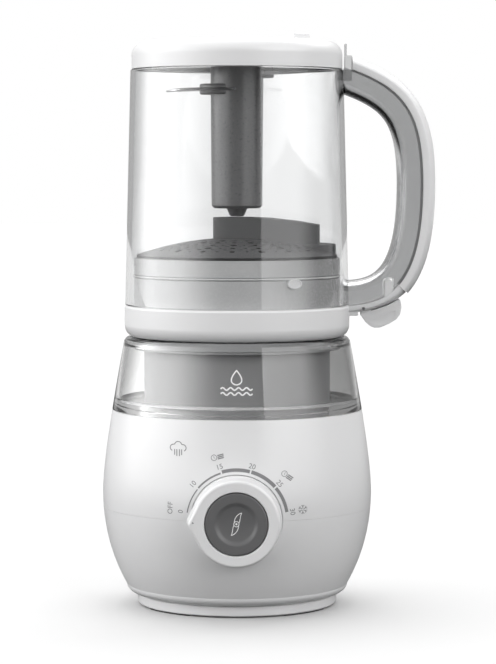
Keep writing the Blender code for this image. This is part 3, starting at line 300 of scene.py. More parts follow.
def turned(name, outline, sides=SIDES, ease=EASE):
    """A solid of revolution from (radius, height) points; ends at radius 0 are closed on the axis."""
    open_ended = outline[0][0] < WELD and outline[-1][0] < WELD
    outline = eased(outline, ease, closed=not open_ended) if ease else outline
    mesh = bmesh.new()
    ring = [mesh.verts.new((r, 0.0, z)) for r, z in outline]
    ends = ring[1:] if open_ended else ring[1:] + ring[:1]
    edges = [mesh.edges.new(pair) for pair in zip(ring, ends)]
    full_turn = {"cent": (0, 0, 0), "axis": (0, 0, 1), "angle": math.tau, "steps": sides}
    bmesh.ops.spin(mesh, geom=ring + edges, **full_turn)
    bmesh.ops.remove_doubles(mesh, verts=mesh.verts, dist=WELD)
    return as_object(name, mesh)


def prism(name, outline, first, last):
    """An (x, y) outline raised from first to last."""
    mesh = bmesh.new()
    face = mesh.faces.new([mesh.verts.new((x, y, first)) for x, y in outline])
    raised = bmesh.ops.extrude_face_region(mesh, geom=[face])["geom"]
    tops = [v for v in raised if isinstance(v, bmesh.types.BMVert)]
    bmesh.ops.translate(mesh, verts=tops, vec=(0, 0, last - first))
    return as_object(name, mesh)


def side_prism(name, outline, half_width, centre=0.0):
    """An (x, z) outline, widened to both sides of the XZ plane."""
    obj = prism(name, outline, -half_width - centre, half_width - centre)
    obj.data.transform(turn(90, "X"))
    return obj


def cylinder(name, radius, first, last, at=(0.0, 0.0), sides=FINE):
    return shift(turned(name, rectangle(0, first, radius, last), sides, 0), *at)


def cross_hole(radius, x, z):
    """A cutter along Y."""
    hole = moved(cylinder("hole", radius, -0.02, 0.02, sides=24), turn(90, "X"))
    return shift(hole, x, 0, z)


def box(name, first, last):
    return prism(name, rectangle(*first[:2], *last[:2]), first[2], last[2])


def skin(name, loops):
    """Closes a row of matching loops of points into a solid with flat ends."""
    mesh = bmesh.new()
    rows = [[mesh.verts.new(p) for p in loop] for loop in loops]
    for near, far in zip(rows, rows[1:]):
        for i in range(len(near)):
            j = (i + 1) % len(near)
            mesh.faces.new((near[i], near[j], far[j], far[i]))
    mesh.faces.new(rows[0])
    mesh.faces.new(reversed(rows[-1]))
    return as_object(name, mesh)


def moved(obj, matrix):
    obj.data.transform(matrix)
    return obj


def shift(obj, x, y=0.0, z=0.0):
    return moved(obj, Matrix.Translation((x, y, z)))


def apply_modifiers(obj):
    bpy.context.view_layer.update()
    graph = bpy.context.evaluated_depsgraph_get()
    old, shape = obj.data, bpy.data.meshes.new_from_object(obj.evaluated_get(graph))
    obj.modifiers.clear()
    obj.data = shape
    bpy.data.meshes.remove(old)
    return obj


def combine(target, tool, operation="DIFFERENCE"):
    """Cuts tool out of target, or adds it, and removes the tool."""
    step = target.modifiers.new(operation.lower(), "BOOLEAN")
    step.operation = operation
    step.object = tool
    apply_modifiers(target)
    weld = bmesh.new()
    weld.from_mesh(target.data)
    bmesh.ops.remove_doubles(weld, verts=weld.verts, dist=5 * WELD)
    weld.to_mesh(target.data)
    weld.free()
    bpy.data.meshes.remove(tool.data)
    return shade(target)


def add(target, *tools):
    for tool in tools:
        combine(target, tool, "UNION")
    return target


def cut(target, *tools):
    for tool in tools:
        combine(target, tool)
    return target


def many(name, shapes):
    """Several separate shapes as one object."""
    mesh = bmesh.new()
    for shape in shapes:
        mesh.from_mesh(shape.data)
        bpy.data.meshes.remove(shape.data)
    return as_object(name, mesh)


def soften(obj, width, segments=3, degrees=40):
    """Rounds the edges that are sharper than an angle."""
    step = obj.modifiers.new("soften", "BEVEL")
    step.width = width
    step.segments = segments
    step.limit_method = "ANGLE"
    step.angle_limit = math.radians(degrees)
    step.use_clamp_overlap = True
    return shade(apply_modifiers(obj))


def on_dial(obj):
    """Stands a piece on the dial's axis: its own Z points out of the front of the base."""
    return moved(obj, Matrix.Translation((0, 0, KNOB_Z)) @ turn(90, "X"))


def settle(obj, body, slot, *nodes):
    """Moves a finished piece on to the frame, where it stands for its CAD nodes."""
    obj.data.transform(Matrix.Translation(ORIGIN))
    obj.data.materials.clear()
    obj.data.materials.append(look(slot))
    obj.modifiers.new("even_shading", "WEIGHTED_NORMAL").keep_sharp = True
    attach(obj, body)
    if nodes:
        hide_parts(*nodes)
    return obj


# ---- materials ------------------------------------------------------------------------------------------
def new_look(name):
    made = bpy.data.materials.new(name)
    made.use_nodes = True
    return made, made.node_tree, made.node_tree.nodes["Principled BSDF"]


def feed(tree, node, inputs):
    """Sets a node's inputs, by name or number, to sockets, numbers or colours."""
    for key, value in inputs.items():
        if isinstance(value, bpy.types.NodeSocket):
            tree.links.new(value, node.inputs[key])
        else:
            node.inputs[key].default_value = value


def wire(tree, kind, inputs, **settings):
    """The outputs of a new node."""
    made = tree.nodes.new("ShaderNode" + kind)
    for key, value in settings.items():
        setattr(made, key, value)
    feed(tree, made, inputs)
    return made.outputs


def noise(tree, scale, detail=3.0, stretch=(1, 1, 1)):
    """A noise pattern in metres, which may be stretched along an axis."""
    where = wire(tree, "TexCoord", {})["Object"]
    place = wire(tree, "Mapping", {"Vector": where, "Scale": stretch})["Vector"]
    return wire(tree, "TexNoise", {"Vector": place, "Scale": scale, "Detail": detail})["Fac"]


def ramp(tree, source, first, last, least=0.0, most=1.0, kind="SMOOTHSTEP"):
    """A rise from least, where source is first, to most, where it is last."""
    values = {"Value": source, 1: first, 2: last, 3: least, 4: most}
    return wire(tree, "MapRange", values, interpolation_type=kind)["Result"]


def between(tree, pattern, least, most):
    """A noise pattern turned into a number from least to most."""
    return ramp(tree, pattern, *NOISE_SPREAD, least, most, "LINEAR")


def maths(tree, operation, result, *others):
    """Arithmetic on sockets or numbers, from left to right."""
    for other in others or (0.0,):
        result = wire(tree, "Math", {0: result, 1: other}, operation=operation)[0]
    return result


def mixed(tree, factor, first, second, blend="MIX"):
    colours = {"Factor": factor, "A": first, "B": second}
    return wire(tree, "Mix", colours, data_type="RGBA", blend_type=blend)["Result"]


def scaled(colour, share):
    return tuple(min(1.0, c * share) for c in colour)


def colour_between(tree, pattern, dark, light):
    return mixed(tree, between(tree, pattern, 0, 1), (*dark, 1), (*light, 1))


def grain(tree, shader, pattern, height):
    bump = wire(tree, "Bump", {"Strength": 1.0, "Distance": height, "Height": pattern})
    feed(tree, shader, {"Normal": bump["Normal"]})


def moulded(
    name, colour, roughness, texture=900, height=0.00002, tone=0.03, coat=0.0, metallic=0.0, shine=0.5
):
    """Moulded material: a broad drift in tone, and a fine surface grain that also varies the gloss."""
    made, tree, shader = new_look(name)
    broad, fine = noise(tree, 24), noise(tree, texture, 2.0)
    inputs = {
        "Base Color": colour_between(tree, broad, scaled(colour, 1 - tone), scaled(colour, 1 + tone)),
        "Roughness": between(tree, fine, roughness * 0.85, roughness * 1.2),
        "Coat Weight": coat,
        "Coat Roughness": max(0.08, roughness * 0.8),
        "Metallic": metallic,
        "Specular IOR Level": shine,
    }
    feed(tree, shader, inputs)
    grain(tree, shader, fine, height)
    return made


def ground_metal(name, colour, roughness, stretch):
    """Metal with fine parallel grinding marks; stretch squeezes the pattern across them."""
    made, tree, shader = new_look(name)
    marks, broad = noise(tree, 60, 4.0, stretch), noise(tree, 30)
    inputs = {
        "Base Color": colour_between(tree, marks, scaled(colour, 0.8), colour),
        "Roughness": between(tree, broad, roughness * 0.8, roughness * 1.3),
        "Metallic": 1.0,
    }
    feed(tree, shader, inputs)
    grain(tree, shader, marks, 0.00001)
    return made


def let_lamps_through(tree, shader, clearness):
    """Light on its way to what is inside goes straight through the clear wall."""
    path = wire(tree, "LightPath", {})
    either = maths(tree, "MAXIMUM", path["Is Shadow Ray"], path["Is Diffuse Ray"])
    clear = wire(tree, "BsdfTransparent", {"Color": (clearness, clearness, clearness, 1)})["BSDF"]
    mix = wire(tree, "MixShader", {"Fac": either, 1: shader.outputs["BSDF"], 2: clear})["Shader"]
    feed(tree, tree.nodes["Material Output"], {"Surface": mix})


def edge_tinted(tree, flat_on, edge_on, pattern):
    """A tint that darkens where the wall is seen edge on, because the light's way through it is longer."""
    facing = wire(tree, "LayerWeight", {"Blend": 0.5})["Facing"]
    flat = colour_between(tree, pattern, scaled(flat_on, 0.985), flat_on)
    return mixed(tree, ramp(tree, facing, 0.72, 1.0), flat, (*edge_on, 1))


def clear_plastic(name, tint, edge, roughness=0.02, ripple=0.000004):
    """Clear moulded plastic with a faint flow ripple in its surface."""
    made, tree, shader = new_look(name)
    flow = noise(tree, 45, 2.0, (1, 1, 0.4))
    inputs = {
        "Base Color": edge_tinted(tree, tint, edge, flow),
        "Roughness": between(tree, flow, roughness * 0.6, roughness * 1.4),
        "Transmission Weight": 1.0,
        "IOR": 1.49,
    }
    feed(tree, shader, inputs)
    grain(tree, shader, flow, ripple)
    let_lamps_through(tree, shader, 0.94)
    return made


def frosted_plastic(name, colour, cover):
    """Milky translucent plastic: part of the light comes through it unchanged."""
    made, tree, shader = new_look(name)
    fine, broad = noise(tree, 1100, 2.0), noise(tree, 30)
    inputs = {
        "Base Color": colour_between(tree, broad, scaled(colour, 0.94), colour),
        "Roughness": between(tree, fine, 0.2, 0.32),
        "Alpha": between(tree, broad, cover - 0.03, cover + 0.03),
    }
    feed(tree, shader, inputs)
    grain(tree, shader, fine, 0.00001)
    return made


def circuit_board(name):
    made, tree, shader = new_look(name)
    tracks = noise(tree, 260, 0.0, (1, 1, 0.25))
    greens = colour_between(tree, tracks, (0.02, 0.13, 0.05), (0.05, 0.30, 0.13))
    feed(tree, shader, {"Base Color": greens, "Roughness": 0.35})
    grain(tree, shader, tracks, 0.00003)
    return made


def place_in_piece(tree):
    """X, Y and Z of the place on the piece, from ORIGIN."""
    where = wire(tree, "TexCoord", {})["Object"]
    place = wire(tree, "VectorMath", {0: where, 1: ORIGIN}, operation="SUBTRACT")["Vector"]
    return wire(tree, "SeparateXYZ", {0: place})


def darken(made, factor, tint):
    """Multiplies a look's colour by a tint, where factor is 1."""
    tree = made.node_tree
    shader = tree.nodes["Principled BSDF"]
    colour = shader.inputs["Base Color"].links[0].from_socket
    feed(tree, shader, {"Base Color": mixed(tree, factor, colour, (tint, tint, tint, 1), "MULTIPLY")})
    return made


# Painted shade: multiplies a look's colour by a tint that deepens along X from first to last, so the piece's
# right side looks shaded.
def painted_shade_to_the_right(made, first, last, tint):
    across = place_in_piece(made.node_tree)["X"]
    return darken(made, ramp(made.node_tree, across, first, last), tint)


def strainer_plastic(name, colour):
    """Dark plastic with painted shade below the top of the dome, so that its holes are seen from far off."""
    made = moulded(name, colour, 0.55, height=0.000006, shine=0.12)
    tree = made.node_tree
    x, y, z = place_in_piece(tree)
    radius_squared = maths(tree, "ADD", maths(tree, "MULTIPLY", x, x), maths(tree, "MULTIPLY", y, y))
    fall = maths(tree, "MULTIPLY", radius_squared, STRAINER_RISE / STRAINER_RADIUS**2)
    depth = maths(tree, "SUBTRACT", STRAINER_EDGE_Z + STRAINER_RISE, z, fall)
    # painted shade: just under the dome's top face the colour falls to a tenth, nearly black, in the holes,
    # on the rim and underneath
    return darken(made, ramp(tree, depth, 0.0001, 0.0004), 0.1)


LOOK_MAKERS = {
    "white_plastic": lambda n: moulded(n, (0.77, 0.77, 0.775), 0.34, height=0.000012, coat=0.5, tone=0.012),
    "clear_plastic": lambda n: clear_plastic(n, (0.90, 0.903, 0.905), (0.86, 0.863, 0.865)),
    "handle_plastic": lambda n: clear_plastic(n, (0.60, 0.603, 0.605), (0.32, 0.323, 0.325), 0.06, 0.00001),
    # the clear tank wall gets painted shade that deepens towards its right side
    "tank_plastic": lambda n: painted_shade_to_the_right(
        clear_plastic(n, (0.92, 0.922, 0.92), (0.7, 0.7, 0.7), 0.03), -0.06, 0.06, 0.565
    ),
    # the frosted collar wall gets painted shade that deepens towards its right side
    "frosted_plastic": lambda n: painted_shade_to_the_right(
        frosted_plastic(n, (0.66, 0.663, 0.666), 0.76), 0.010, 0.056, 0.5
    ),
    "boss_plastic": lambda n: frosted_plastic(n, (0.80, 0.802, 0.805), 0.9),
    "duct_plastic": lambda n: frosted_plastic(n, (0.22, 0.222, 0.225), 0.9),
    "pale_grey_plastic": lambda n: moulded(n, (0.42, 0.425, 0.43), 0.38),
    "core_plastic": lambda n: moulded(n, (0.34, 0.34, 0.345), 0.45, height=0.000004),
    "dark_grey_plastic": lambda n: moulded(n, (0.105, 0.105, 0.107), 0.30, height=0.000005, coat=0.8),
    # dark plastic with painted shade in its holes and underneath
    "strainer_plastic": lambda n: strainer_plastic(n, (0.095, 0.095, 0.097)),
    "button_plastic": lambda n: moulded(n, (0.125, 0.125, 0.127), 0.42, height=0.00002),
    "black_plastic": lambda n: moulded(n, (0.03, 0.03, 0.03), 0.5),
    "silicone": lambda n: moulded(n, (0.62, 0.623, 0.626), 0.5, texture=500),
    "rubber": lambda n: moulded(n, (0.045, 0.045, 0.045), 0.75, texture=700, height=0.00004, tone=0.1),
    "steel": lambda n: ground_metal(n, (0.62, 0.62, 0.63), 0.2, (1, 12, 1)),
    "aluminium": lambda n: moulded(n, (0.66, 0.67, 0.68), 0.45, texture=600, height=0.00004, metallic=1.0),
    "brass": lambda n: ground_metal(n, (0.75, 0.55, 0.25), 0.32, (1, 1, 14)),
    "circuit_board": circuit_board,
    "grey_ink": lambda n: moulded(n, (0.22, 0.22, 0.225), 0.45),
    "white_ink": lambda n: moulded(n, (0.86, 0.86, 0.86), 0.45),
}


def look(name):
    """The look of this name, made the first time it is asked for."""
    return bpy.data.materials.get("look_" + name) or LOOK_MAKERS[name]("look_" + name)


# ---- the base's casing ----------------------------------------------------------------------------------
def knob_recess():
    return on_dial(cylinder("recess", KNOB_BASE_RADIUS + GAP, 0.060, 0.085, sides=SIDES))


def screw_places():
    return [polar(SCREW_CIRCLE, 30 + 120 * i) for i in range(3)]


def base_holes(screw_radius, first, last):
    """Cutters for the screws and the cable's bush."""
    holes = [cylinder("hole", screw_radius, first, last, at, 16) for at in screw_places()]
    holes.append(cylinder("bush_hole", BUSH_HOLE_RADIUS, first, last, polar(*BUSH_AT)))
    return many("holes", holes)


def build_lower_shell():
    edge = (body_radius(BODY_EDGE_Z) - 0.0550, BODY_EDGE_Z - SHELL_BOTTOM_Z)
    outer = arc((0.0550, BODY_EDGE_Z), edge, -90, 0, 10)
    outer += body_outline(BODY_EDGE_Z, SEAM_Z - SEAM_GAP / 2, 26)[1:]
    flange = CORD_CEILING_Z + 0.0023
    inner = body_outline(flange + 0.002, SEAM_Z - SEAM_GAP / 2, 10, CASE_WALL)[::-1]
    inner += [(0.0420, flange + 0.002), (0.0420, flange), (body_radius(flange) - CASE_WALL, flange)]
    inner += [(body_radius(0.0105) - CASE_WALL, 0.0105), (0.0535, 0.0070), (0.0535, SHELL_BOTTOM_Z)]
    shell = turned("casing_lower", outer + inner, ease=0.0001)
    cut(shell, knob_recess(), base_holes(0.0019, 0.01, 0.03))
    settle(shell, "base", "white_plastic", "lower_shell")


def build_upper_shell():
    outer = body_outline(SEAM_Z + SEAM_GAP / 2, SHELL_TOP_Z, 26)
    ledge = [(0.0622, SHELL_TOP_Z), (0.0622, SHELL_TOP_Z - 0.0022)]
    inner = body_outline(SEAM_Z + SEAM_GAP / 2, SHELL_TOP_Z - 0.0035, 10, CASE_WALL)[::-1]
    shell = turned("casing_upper", outer + ledge + inner, ease=0.0001)
    cut(shell, knob_recess())
    settle(shell, "base", "white_plastic", "upper_shell")


def build_foot():
    """Foot ring, and inside it the hollow where the mains cable winds round a spool wall."""
    outline = [(0, CORD_CEILING_Z), (SPOOL_RADIUS - 0.002, CORD_CEILING_Z), (SPOOL_RADIUS - 0.002, 0.003)]
    outline += [(SPOOL_RADIUS, 0.003), (SPOOL_RADIUS, CORD_CEILING_Z), (0.0513, CORD_CEILING_Z)]
    outline += [(0.0513, FOOT_BOTTOM_Z), (0.0550, FOOT_BOTTOM_Z), (FOOT_RADIUS, FOOT_BOTTOM_Z + 0.0006)]
    outline += [(FOOT_RADIUS, FOOT_TOP_Z - 0.0006), (0.0550, FOOT_TOP_Z), (0.0531, FOOT_TOP_Z)]
    outline += [(0.0531, CORD_CEILING_Z + 0.002), (0, CORD_CEILING_Z + 0.002)]
    foot = turned("foot_ring", outline)
    for angle in (60, 180, 300):
        add(foot, moved(box("tab", (0.0455, -0.0035, 0.0022), (0.0518, 0.0035, 0.0036)), turn(angle)))
    slots = [moved(box("slot", (0.010, -0.0012, 0), (0.026, 0.0012, 0.02)), turn(i * 45)) for i in range(8)]
    cord_gate = box("cord_gate", (-0.0330, -0.0045, 0), (-0.0250, 0.0150, CORD_CEILING_Z - 0.0005))
    way_out = box("way_out", (-0.0031, 0.050, -0.01), (0.0031, 0.060, 0.0030))
    cut(foot, many("slots", slots), base_holes(0.0020, 0, 0.02), cord_gate, way_out)
    settle(foot, "base", "white_plastic", "bottom_cover")


def build_screws():
    """Round-headed screws with a cross recess, in the hollow under the base."""
    screws = []
    for x, y in screw_places():
        under = CORD_CEILING_Z - 0.0016
        outline = [(0, under), (0.0026, under + 0.0001), (0.0033, under + 0.0013)]
        outline += [(0.0016, under + 0.0013), (0.0016, under + 0.0100), (0, under + 0.0105)]
        screw = turned("screw", outline, 32, 0.0003)
        for angle in (0, 90):
            slot = box("slot", (-0.0015, -0.0003, 0), (0.0015, 0.0003, under + 0.0008))
            cut(screw, moved(slot, turn(angle)))
        screws.append(shift(screw, x, y))
    settle(many("screws", screws), "base", "steel", "base_screw_1", "base_screw_2", "base_screw_3")


# ---- the water tank -------------------------------------------------------------------------------------
def pin_way():
    return cylinder("pin_way", PIN_WAY_RADIUS, 0.13, 0.16, INTERLOCK_AT, 24)


def build_tank_window():
    bottom = SHELL_TOP_Z + GAP
    outer = [(0.0523, bottom)] + body_outline(bottom, TANK_TOP_Z - 0.002, 20)
    top = arc((TANK_TOP_RADIUS - 0.0021, TANK_TOP_Z - 0.0020), 0.0020, 20, 90, 5)
    top += [(0.0593, TANK_TOP_Z), (0.0593, TANK_TOP_Z - 0.0028)]
    inner = body_outline(TANK_FLOOR_Z + 0.002, TANK_TOP_Z - 0.005, 14, TANK_WALL)[::-1]
    floor = [(body_radius(TANK_FLOOR_Z) - TANK_WALL - 0.002, TANK_FLOOR_Z), (0.0523, TANK_FLOOR_Z)]
    settle(turned("tank_glass", outer + top + inner + floor), "base", "tank_plastic", "tank_window")


def build_tank_core():
    """The tank's inner wall with its boiling pocket, and the gasket under the tank's floor."""
    wall, flange, top = 0.002, 0.103, 0.1395
    outline = [(0.0470, flange), (0.0605, flange), (0.0605, flange + 0.0015), (CORE_RADIUS, flange + 0.0015)]
    outline += [(CORE_RADIUS, top), (0.0090, top), (0.0090, top - wall), (CORE_RADIUS - wall, top - wall)]
    outline += [(CORE_RADIUS - wall, flange + 0.003), (0.0470, flange + 0.0015)]
    core = turned("tank_inner", outline, ease=0.0006)
    well = cylinder("well", POCKET_RADIUS + wall, flange - 0.0005, DECK_Z - GAP, CAP_AT)
    combine(well, cylinder("limit", CORE_RADIUS - wall / 2, 0.09, 0.16, sides=SIDES), "INTERSECT")
    bore = cylinder("bore", POCKET_RADIUS, flange + 0.0022, 0.16, CAP_AT)
    cut(add(core, well), bore, pin_way())
    settle(core, "base", "core_plastic", "tank_core")

    gasket = turned("tank_gasket_ring", rectangle(0.0530, 0.1048, 0.0600, 0.1060))
    settle(gasket, "base", "silicone", "tank_gasket")


def build_deck():
    """The seat that the jar stands on, with the filler hole and the hole for the drive coupling."""
    outline = [(0.0110, DECK_Z), (0.0552, DECK_Z), (0.0552, 0.1400), (0.0573, 0.1400), (0.0573, DECK_Z)]
    outline += [(0.0589, DECK_Z), (0.0589, 0.1462), (0.0566, 0.1462), (0.0558, DECK_TOP_Z)]
    outline += [(0.0130, DECK_TOP_Z), (0.0130, 0.1458), (0.0110, 0.1458)]
    deck = turned("jar_seat", outline)
    cut(deck, cylinder("hole", 0.0119, 0.13, 0.16, CAP_AT), pin_way())
    settle(deck, "base", "pale_grey_plastic", "deck")


def build_tank_cap():
    """Quarter-turn filler plug: a gripped disc with the steam nozzle in its middle."""
    outline = [(0.0019, 0.1370), (0.0105, 0.1370), (0.0112, 0.1376), (0.0112, DECK_TOP_Z + GAP)]
    outline += [(TANK_CAP_RADIUS, DECK_TOP_Z + GAP), (TANK_CAP_RADIUS, 0.1466), (0.0130, 0.1472)]
    outline += [(0.0040, 0.1472), (0.0034, 0.1498), (0.0019, 0.1498)]
    cap = turned("filler_cap", outline, FINE)
    for side in (-1, 1):
        near, far = sorted((side * 0.0045, side * 0.0120))
        add(cap, soften(box("rib", (near, -0.0013, 0.1465), (far, 0.0013, 0.1494)), 0.0005))
    settle(shift(cap, *CAP_AT), "filler_plug", "white_plastic", "tank_cap")


def build_interlock_pin():
    pin = [(0, 0.1285), (0.0020, 0.1285), (0.0020, 0.1462), (0.0014, 0.1470), (0, 0.1470)]
    pin = shift(turned("interlock_rod", pin, 32), *INTERLOCK_AT)
    settle(pin, "interlock", "dark_grey_plastic", "interlock_pin")


def build_blade_coupling():
    """The coupling in the top of the jar, with the seal round its spindle."""
    hub = [(0, 0.3058), (0.0043, 0.3058), (0.0043, COUPLING_Z), (0.0108, COUPLING_Z)]
    hub += [(0.0108, 0.3062), (0, 0.3066)]
    coupling = turned("blade_drive", hub, FINE, 0.0003)
    for i in range(4):
        dog = box("dog", (0.0055, -0.0015, 0.3050), (0.0102, 0.0015, 0.3092))
        add(coupling, moved(soften(dog, 0.0004), turn(i * 90)))
    settle(coupling, "blade_unit", "dark_grey_plastic", "blade_coupling")
    seal = rectangle(0.0043, JAR_INSIDE_TOP_Z, 0.0067, JAR_TOP_Z)
    settle(turned("spindle_seal_ring", seal, FINE), "jar_body", "silicone", "spindle_seal")


# ---- the dial -------------------------------------------------------------------------------------------
def knob_outline(radius, nose, reach, steps=90):
    """A circle drawn out on its left into a round nose that points at the scale."""
    spread = 180 - math.degrees(math.acos((radius - nose) / (reach - nose)))
    circle = arc((0, 0), radius, -spread, spread, steps)
    tip = arc((nose - reach, 0), nose, spread, 360 - spread, 12)
    return circle + tip[1:-1]


def build_dial():
    """Dial ring, which narrows a little to its rounded front edge."""
    edge = 0.0016
    rounded = arc((0.0010 + edge, KNOB_FACE - edge), edge, 180, 90, 6)
    rows = []
    for shrink, depth in [(0.0, NOSE_BACK), (0.0006, 0.0800)] + rounded:
        radius, nose = KNOB_BASE_RADIUS - 0.0002 - shrink, NOSE_RADIUS - 0.6 * shrink
        reach = NOSE_REACH + 0.0008 - shrink
        rows.append([(x, y, depth) for x, y in knob_outline(radius, nose, reach)])
    knob = skin("dial_knob", rows)
    add(knob, cylinder("skirt", KNOB_BASE_RADIUS, KNOB_BACK, NOSE_BACK + 0.0008, sides=SIDES))
    bore = [(0, KNOB_WEB_FRONT), (KNOB_BORE, KNOB_WEB_FRONT), (KNOB_BORE, KNOB_FACE - 0.0004)]
    bore += [(KNOB_BORE + 0.0003, KNOB_FACE), (KNOB_BORE + 0.0008, KNOB_FACE + 0.001)]
    bore.append((0, KNOB_FACE + 0.001))
    cut(knob, turned("bore", bore, SIDES, 0))
    cut(knob, cylinder("back", KNOB_BORE + 0.003, 0.05, KNOB_WEB_BACK, sides=SIDES))
    cut(knob, cylinder("shaft_hole", SHAFT_TUBE_RADIUS + GAP, 0.05, 0.1))
    settle(on_dial(knob), "dial", "white_plastic", "dial_ring")

    dish = turned("dial_dish", rectangle(0.0049, 0.0660, KNOB_BASE_RADIUS + GAP, 0.0684))
    settle(on_dial(dish), "base", "white_plastic", "dial_bezel")


def button_height(r):
    """Front of the button at a radius: a flat rim, then a soft dish."""
    if r > BUTTON_DISH_RADIUS:
        return BUTTON_FRONT
    depth = 0.0020 * (1 - (r / 0.0150) ** 2)
    rim = min(1.0, (BUTTON_DISH_RADIUS - r) / 0.0026)
    return BUTTON_FRONT - depth * rim * rim * (3 - 2 * rim)


def build_button():
    outline = [(0, 0.0457), (0.0018, 0.0457), (0.0018, BUTTON_BACK), (BUTTON_RADIUS, BUTTON_BACK)]
    outline += arc((BUTTON_RADIUS - 0.0007, BUTTON_FRONT - 0.0007), 0.0007, 0, 90, 5)
    radii = [BUTTON_DISH_RADIUS * (1 - i / 20) for i in range(21)]
    outline += [(r, button_height(r)) for r in radii]
    button = turned("blend_key", outline, SIDES, 0.0002)
    settle(on_dial(button), "button", "button_plastic", "blend_button")


def build_spring():
    """The coil behind the push button, which the real button squashes; here it is rigid and stays with the
    base.
    """
    turns, steps, coil, wire = 4, 24, 0.0070, 0.0005
    first, last = 0.0764, 0.0832
    loops = []
    for i in range(turns * steps + 1):
        angle = math.tau * i / steps
        out = Vector((math.cos(angle), math.sin(angle), 0))
        centre = out * coil + Vector((0, 0, first + (last - first) * i / (turns * steps)))
        section = arc((0, 0), wire, 0, 315, 7)
        loops.append([centre + out * across + Vector((0, 0, up)) for across, up in section])
    spring = on_dial(skin("return_spring", loops))
    settle(spring, "base", "steel", "button_spring")
    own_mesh(spring)


# ---- printing -------------------------------------------------------------------------------------------
def on_front(across, z, lift):
    """The place on the front of the base at a height, lifted off the surface."""
    return across, -math.sqrt((body_radius(z) + lift) ** 2 - across**2), z


def on_body(across, up, lift):
    return on_front(across, KNOB_Z + up, lift)


def on_tank(across, up, lift):
    return on_front(across, TANK_MARK_Z + up, lift)


def on_knob(across, up, lift):
    return across, -KNOB_FACE - lift, KNOB_Z + up


def on_button(across, up, lift):
    return across, -button_height(math.hypot(across, up)) - lift, KNOB_Z + up


def ribbon(mesh, points, widths, place, closed=False):
    """Adds a printed line of given widths along (across, up) points, as a thin closed solid."""
    count = len(points)
    sides = []
    for i, point in enumerate(points):
        before = points[i - 1] if closed or i > 0 else point
        after = points[(i + 1) % count] if closed or i < count - 1 else point
        along = (Vector(after) - Vector(before)).normalized()
        across = Vector((-along.y, along.x)) * widths[i] / 2
        corners = [Vector(point) + across, Vector(point) - across]
        sides.append([[mesh.verts.new(place(c.x, c.y, lift)) for c in corners] for lift in (INK, -INK)])
    pairs = list(zip(sides, sides[1:])) + ([(sides[-1], sides[0])] if closed else [])
    for (top0, low0), (top1, low1) in pairs:
        mesh.faces.new((top0[0], top0[1], top1[1], top1[0]))
        mesh.faces.new((low0[0], low1[0], low1[1], low0[1]))
        mesh.faces.new((top0[0], top1[0], low1[0], low0[0]))
        mesh.faces.new((top0[1], low0[1], low1[1], top1[1]))
    if not closed:
        for top, under in (sides[0], sides[-1]):
            mesh.faces.new((top[0], under[0], under[1], top[1]))


def line(mesh, points, place, width=0.00035, closed=False):
    ribbon(mesh, points, [width] * len(points), place, closed)


def glyphs(mesh, text, height, centre, degrees, place):
    """Adds a word or number, set at an angle about its centre."""
    curve = bpy.data.curves.new("glyphs", "FONT")
    curve.body = text
    curve.size = height
    curve.align_x = "CENTER"
    curve.align_y = "CENTER"
    curve.extrude = INK
    curve.resolution_u = 5
    holder = bpy.data.objects.new("glyphs", curve)
    bpy.context.scene.collection.objects.link(holder)
    bpy.context.view_layer.update()
    graph = bpy.context.evaluated_depsgraph_get()
    data = bpy.data.meshes.new_from_object(holder.evaluated_get(graph))
    bpy.data.objects.remove(holder)
    bpy.data.curves.remove(curve)
    swing = Matrix.Rotation(math.radians(degrees), 2)
    for vertex in data.vertices:
        flat = swing @ Vector(vertex.co[:2]) + Vector(centre)
        vertex.co = place(flat.x, flat.y, vertex.co.z)
    mesh.from_mesh(data)
    bmesh.ops.remove_doubles(mesh, verts=mesh.verts, dist=WELD)
    bpy.data.meshes.remove(data)


def shifted(points, centre, degrees=0):
    swing = Matrix.Rotation(math.radians(degrees), 2)
    return [tuple(swing @ Vector(p) + Vector(centre)) for p in points]


def draw(mesh, centre, degrees, *strokes):
    """Prints strokes, each of them (width, points), on the barrel."""
    for width, points in strokes:
        line(mesh, shifted(points, centre, degrees), on_body, width)


def draw_cloud(mesh, centre):
    """A rounded cloud with steam rising under it."""
    puffs = arc((-0.0026, 0.0010), 0.0017, 250, 90, 9) + arc((0, 0.0024), 0.0019, 165, 15, 10)
    puffs += arc((0.0026, 0.0010), 0.0017, 90, -70, 9)
    draw(mesh, centre, 0, (0.00045, puffs))
    for x, length in ((-0.0019, 0.0030), (-0.0007, 0.0036), (0.0007, 0.0036), (0.0019, 0.0030)):
        draw(mesh, centre, 0, (0.00045, [(x, 0.0002), (x, 0.0002 - length)]))


def draw_clock_and_bars(mesh, centre, degrees):
    """A small clock in front of a stack of portions."""
    line(mesh, shifted(arc((-0.0017, 0), 0.0015, 0, 345, 23), centre, degrees), on_body, 0.0003, True)
    draw(mesh, centre, degrees, (0.00022, [(-0.0017, 0.0009), (-0.0017, 0), (-0.0011, -0.0005)]))
    for y in (-0.0009, 0, 0.0009):
        draw(mesh, centre, degrees, (0.0006, [(0.0002, y), (0.0035, y + 0.0004)]))


def draw_snowflake(mesh, centre):
    spoke = (0.0003, [(0.0005, 0), (0.0024, 0)])
    fork = (0.00025, [(0.0023, 0.0008), (0.0015, 0), (0.0023, -0.0008)])
    for i in range(6):
        draw(mesh, centre, 60 * i + 30, spoke, fork)


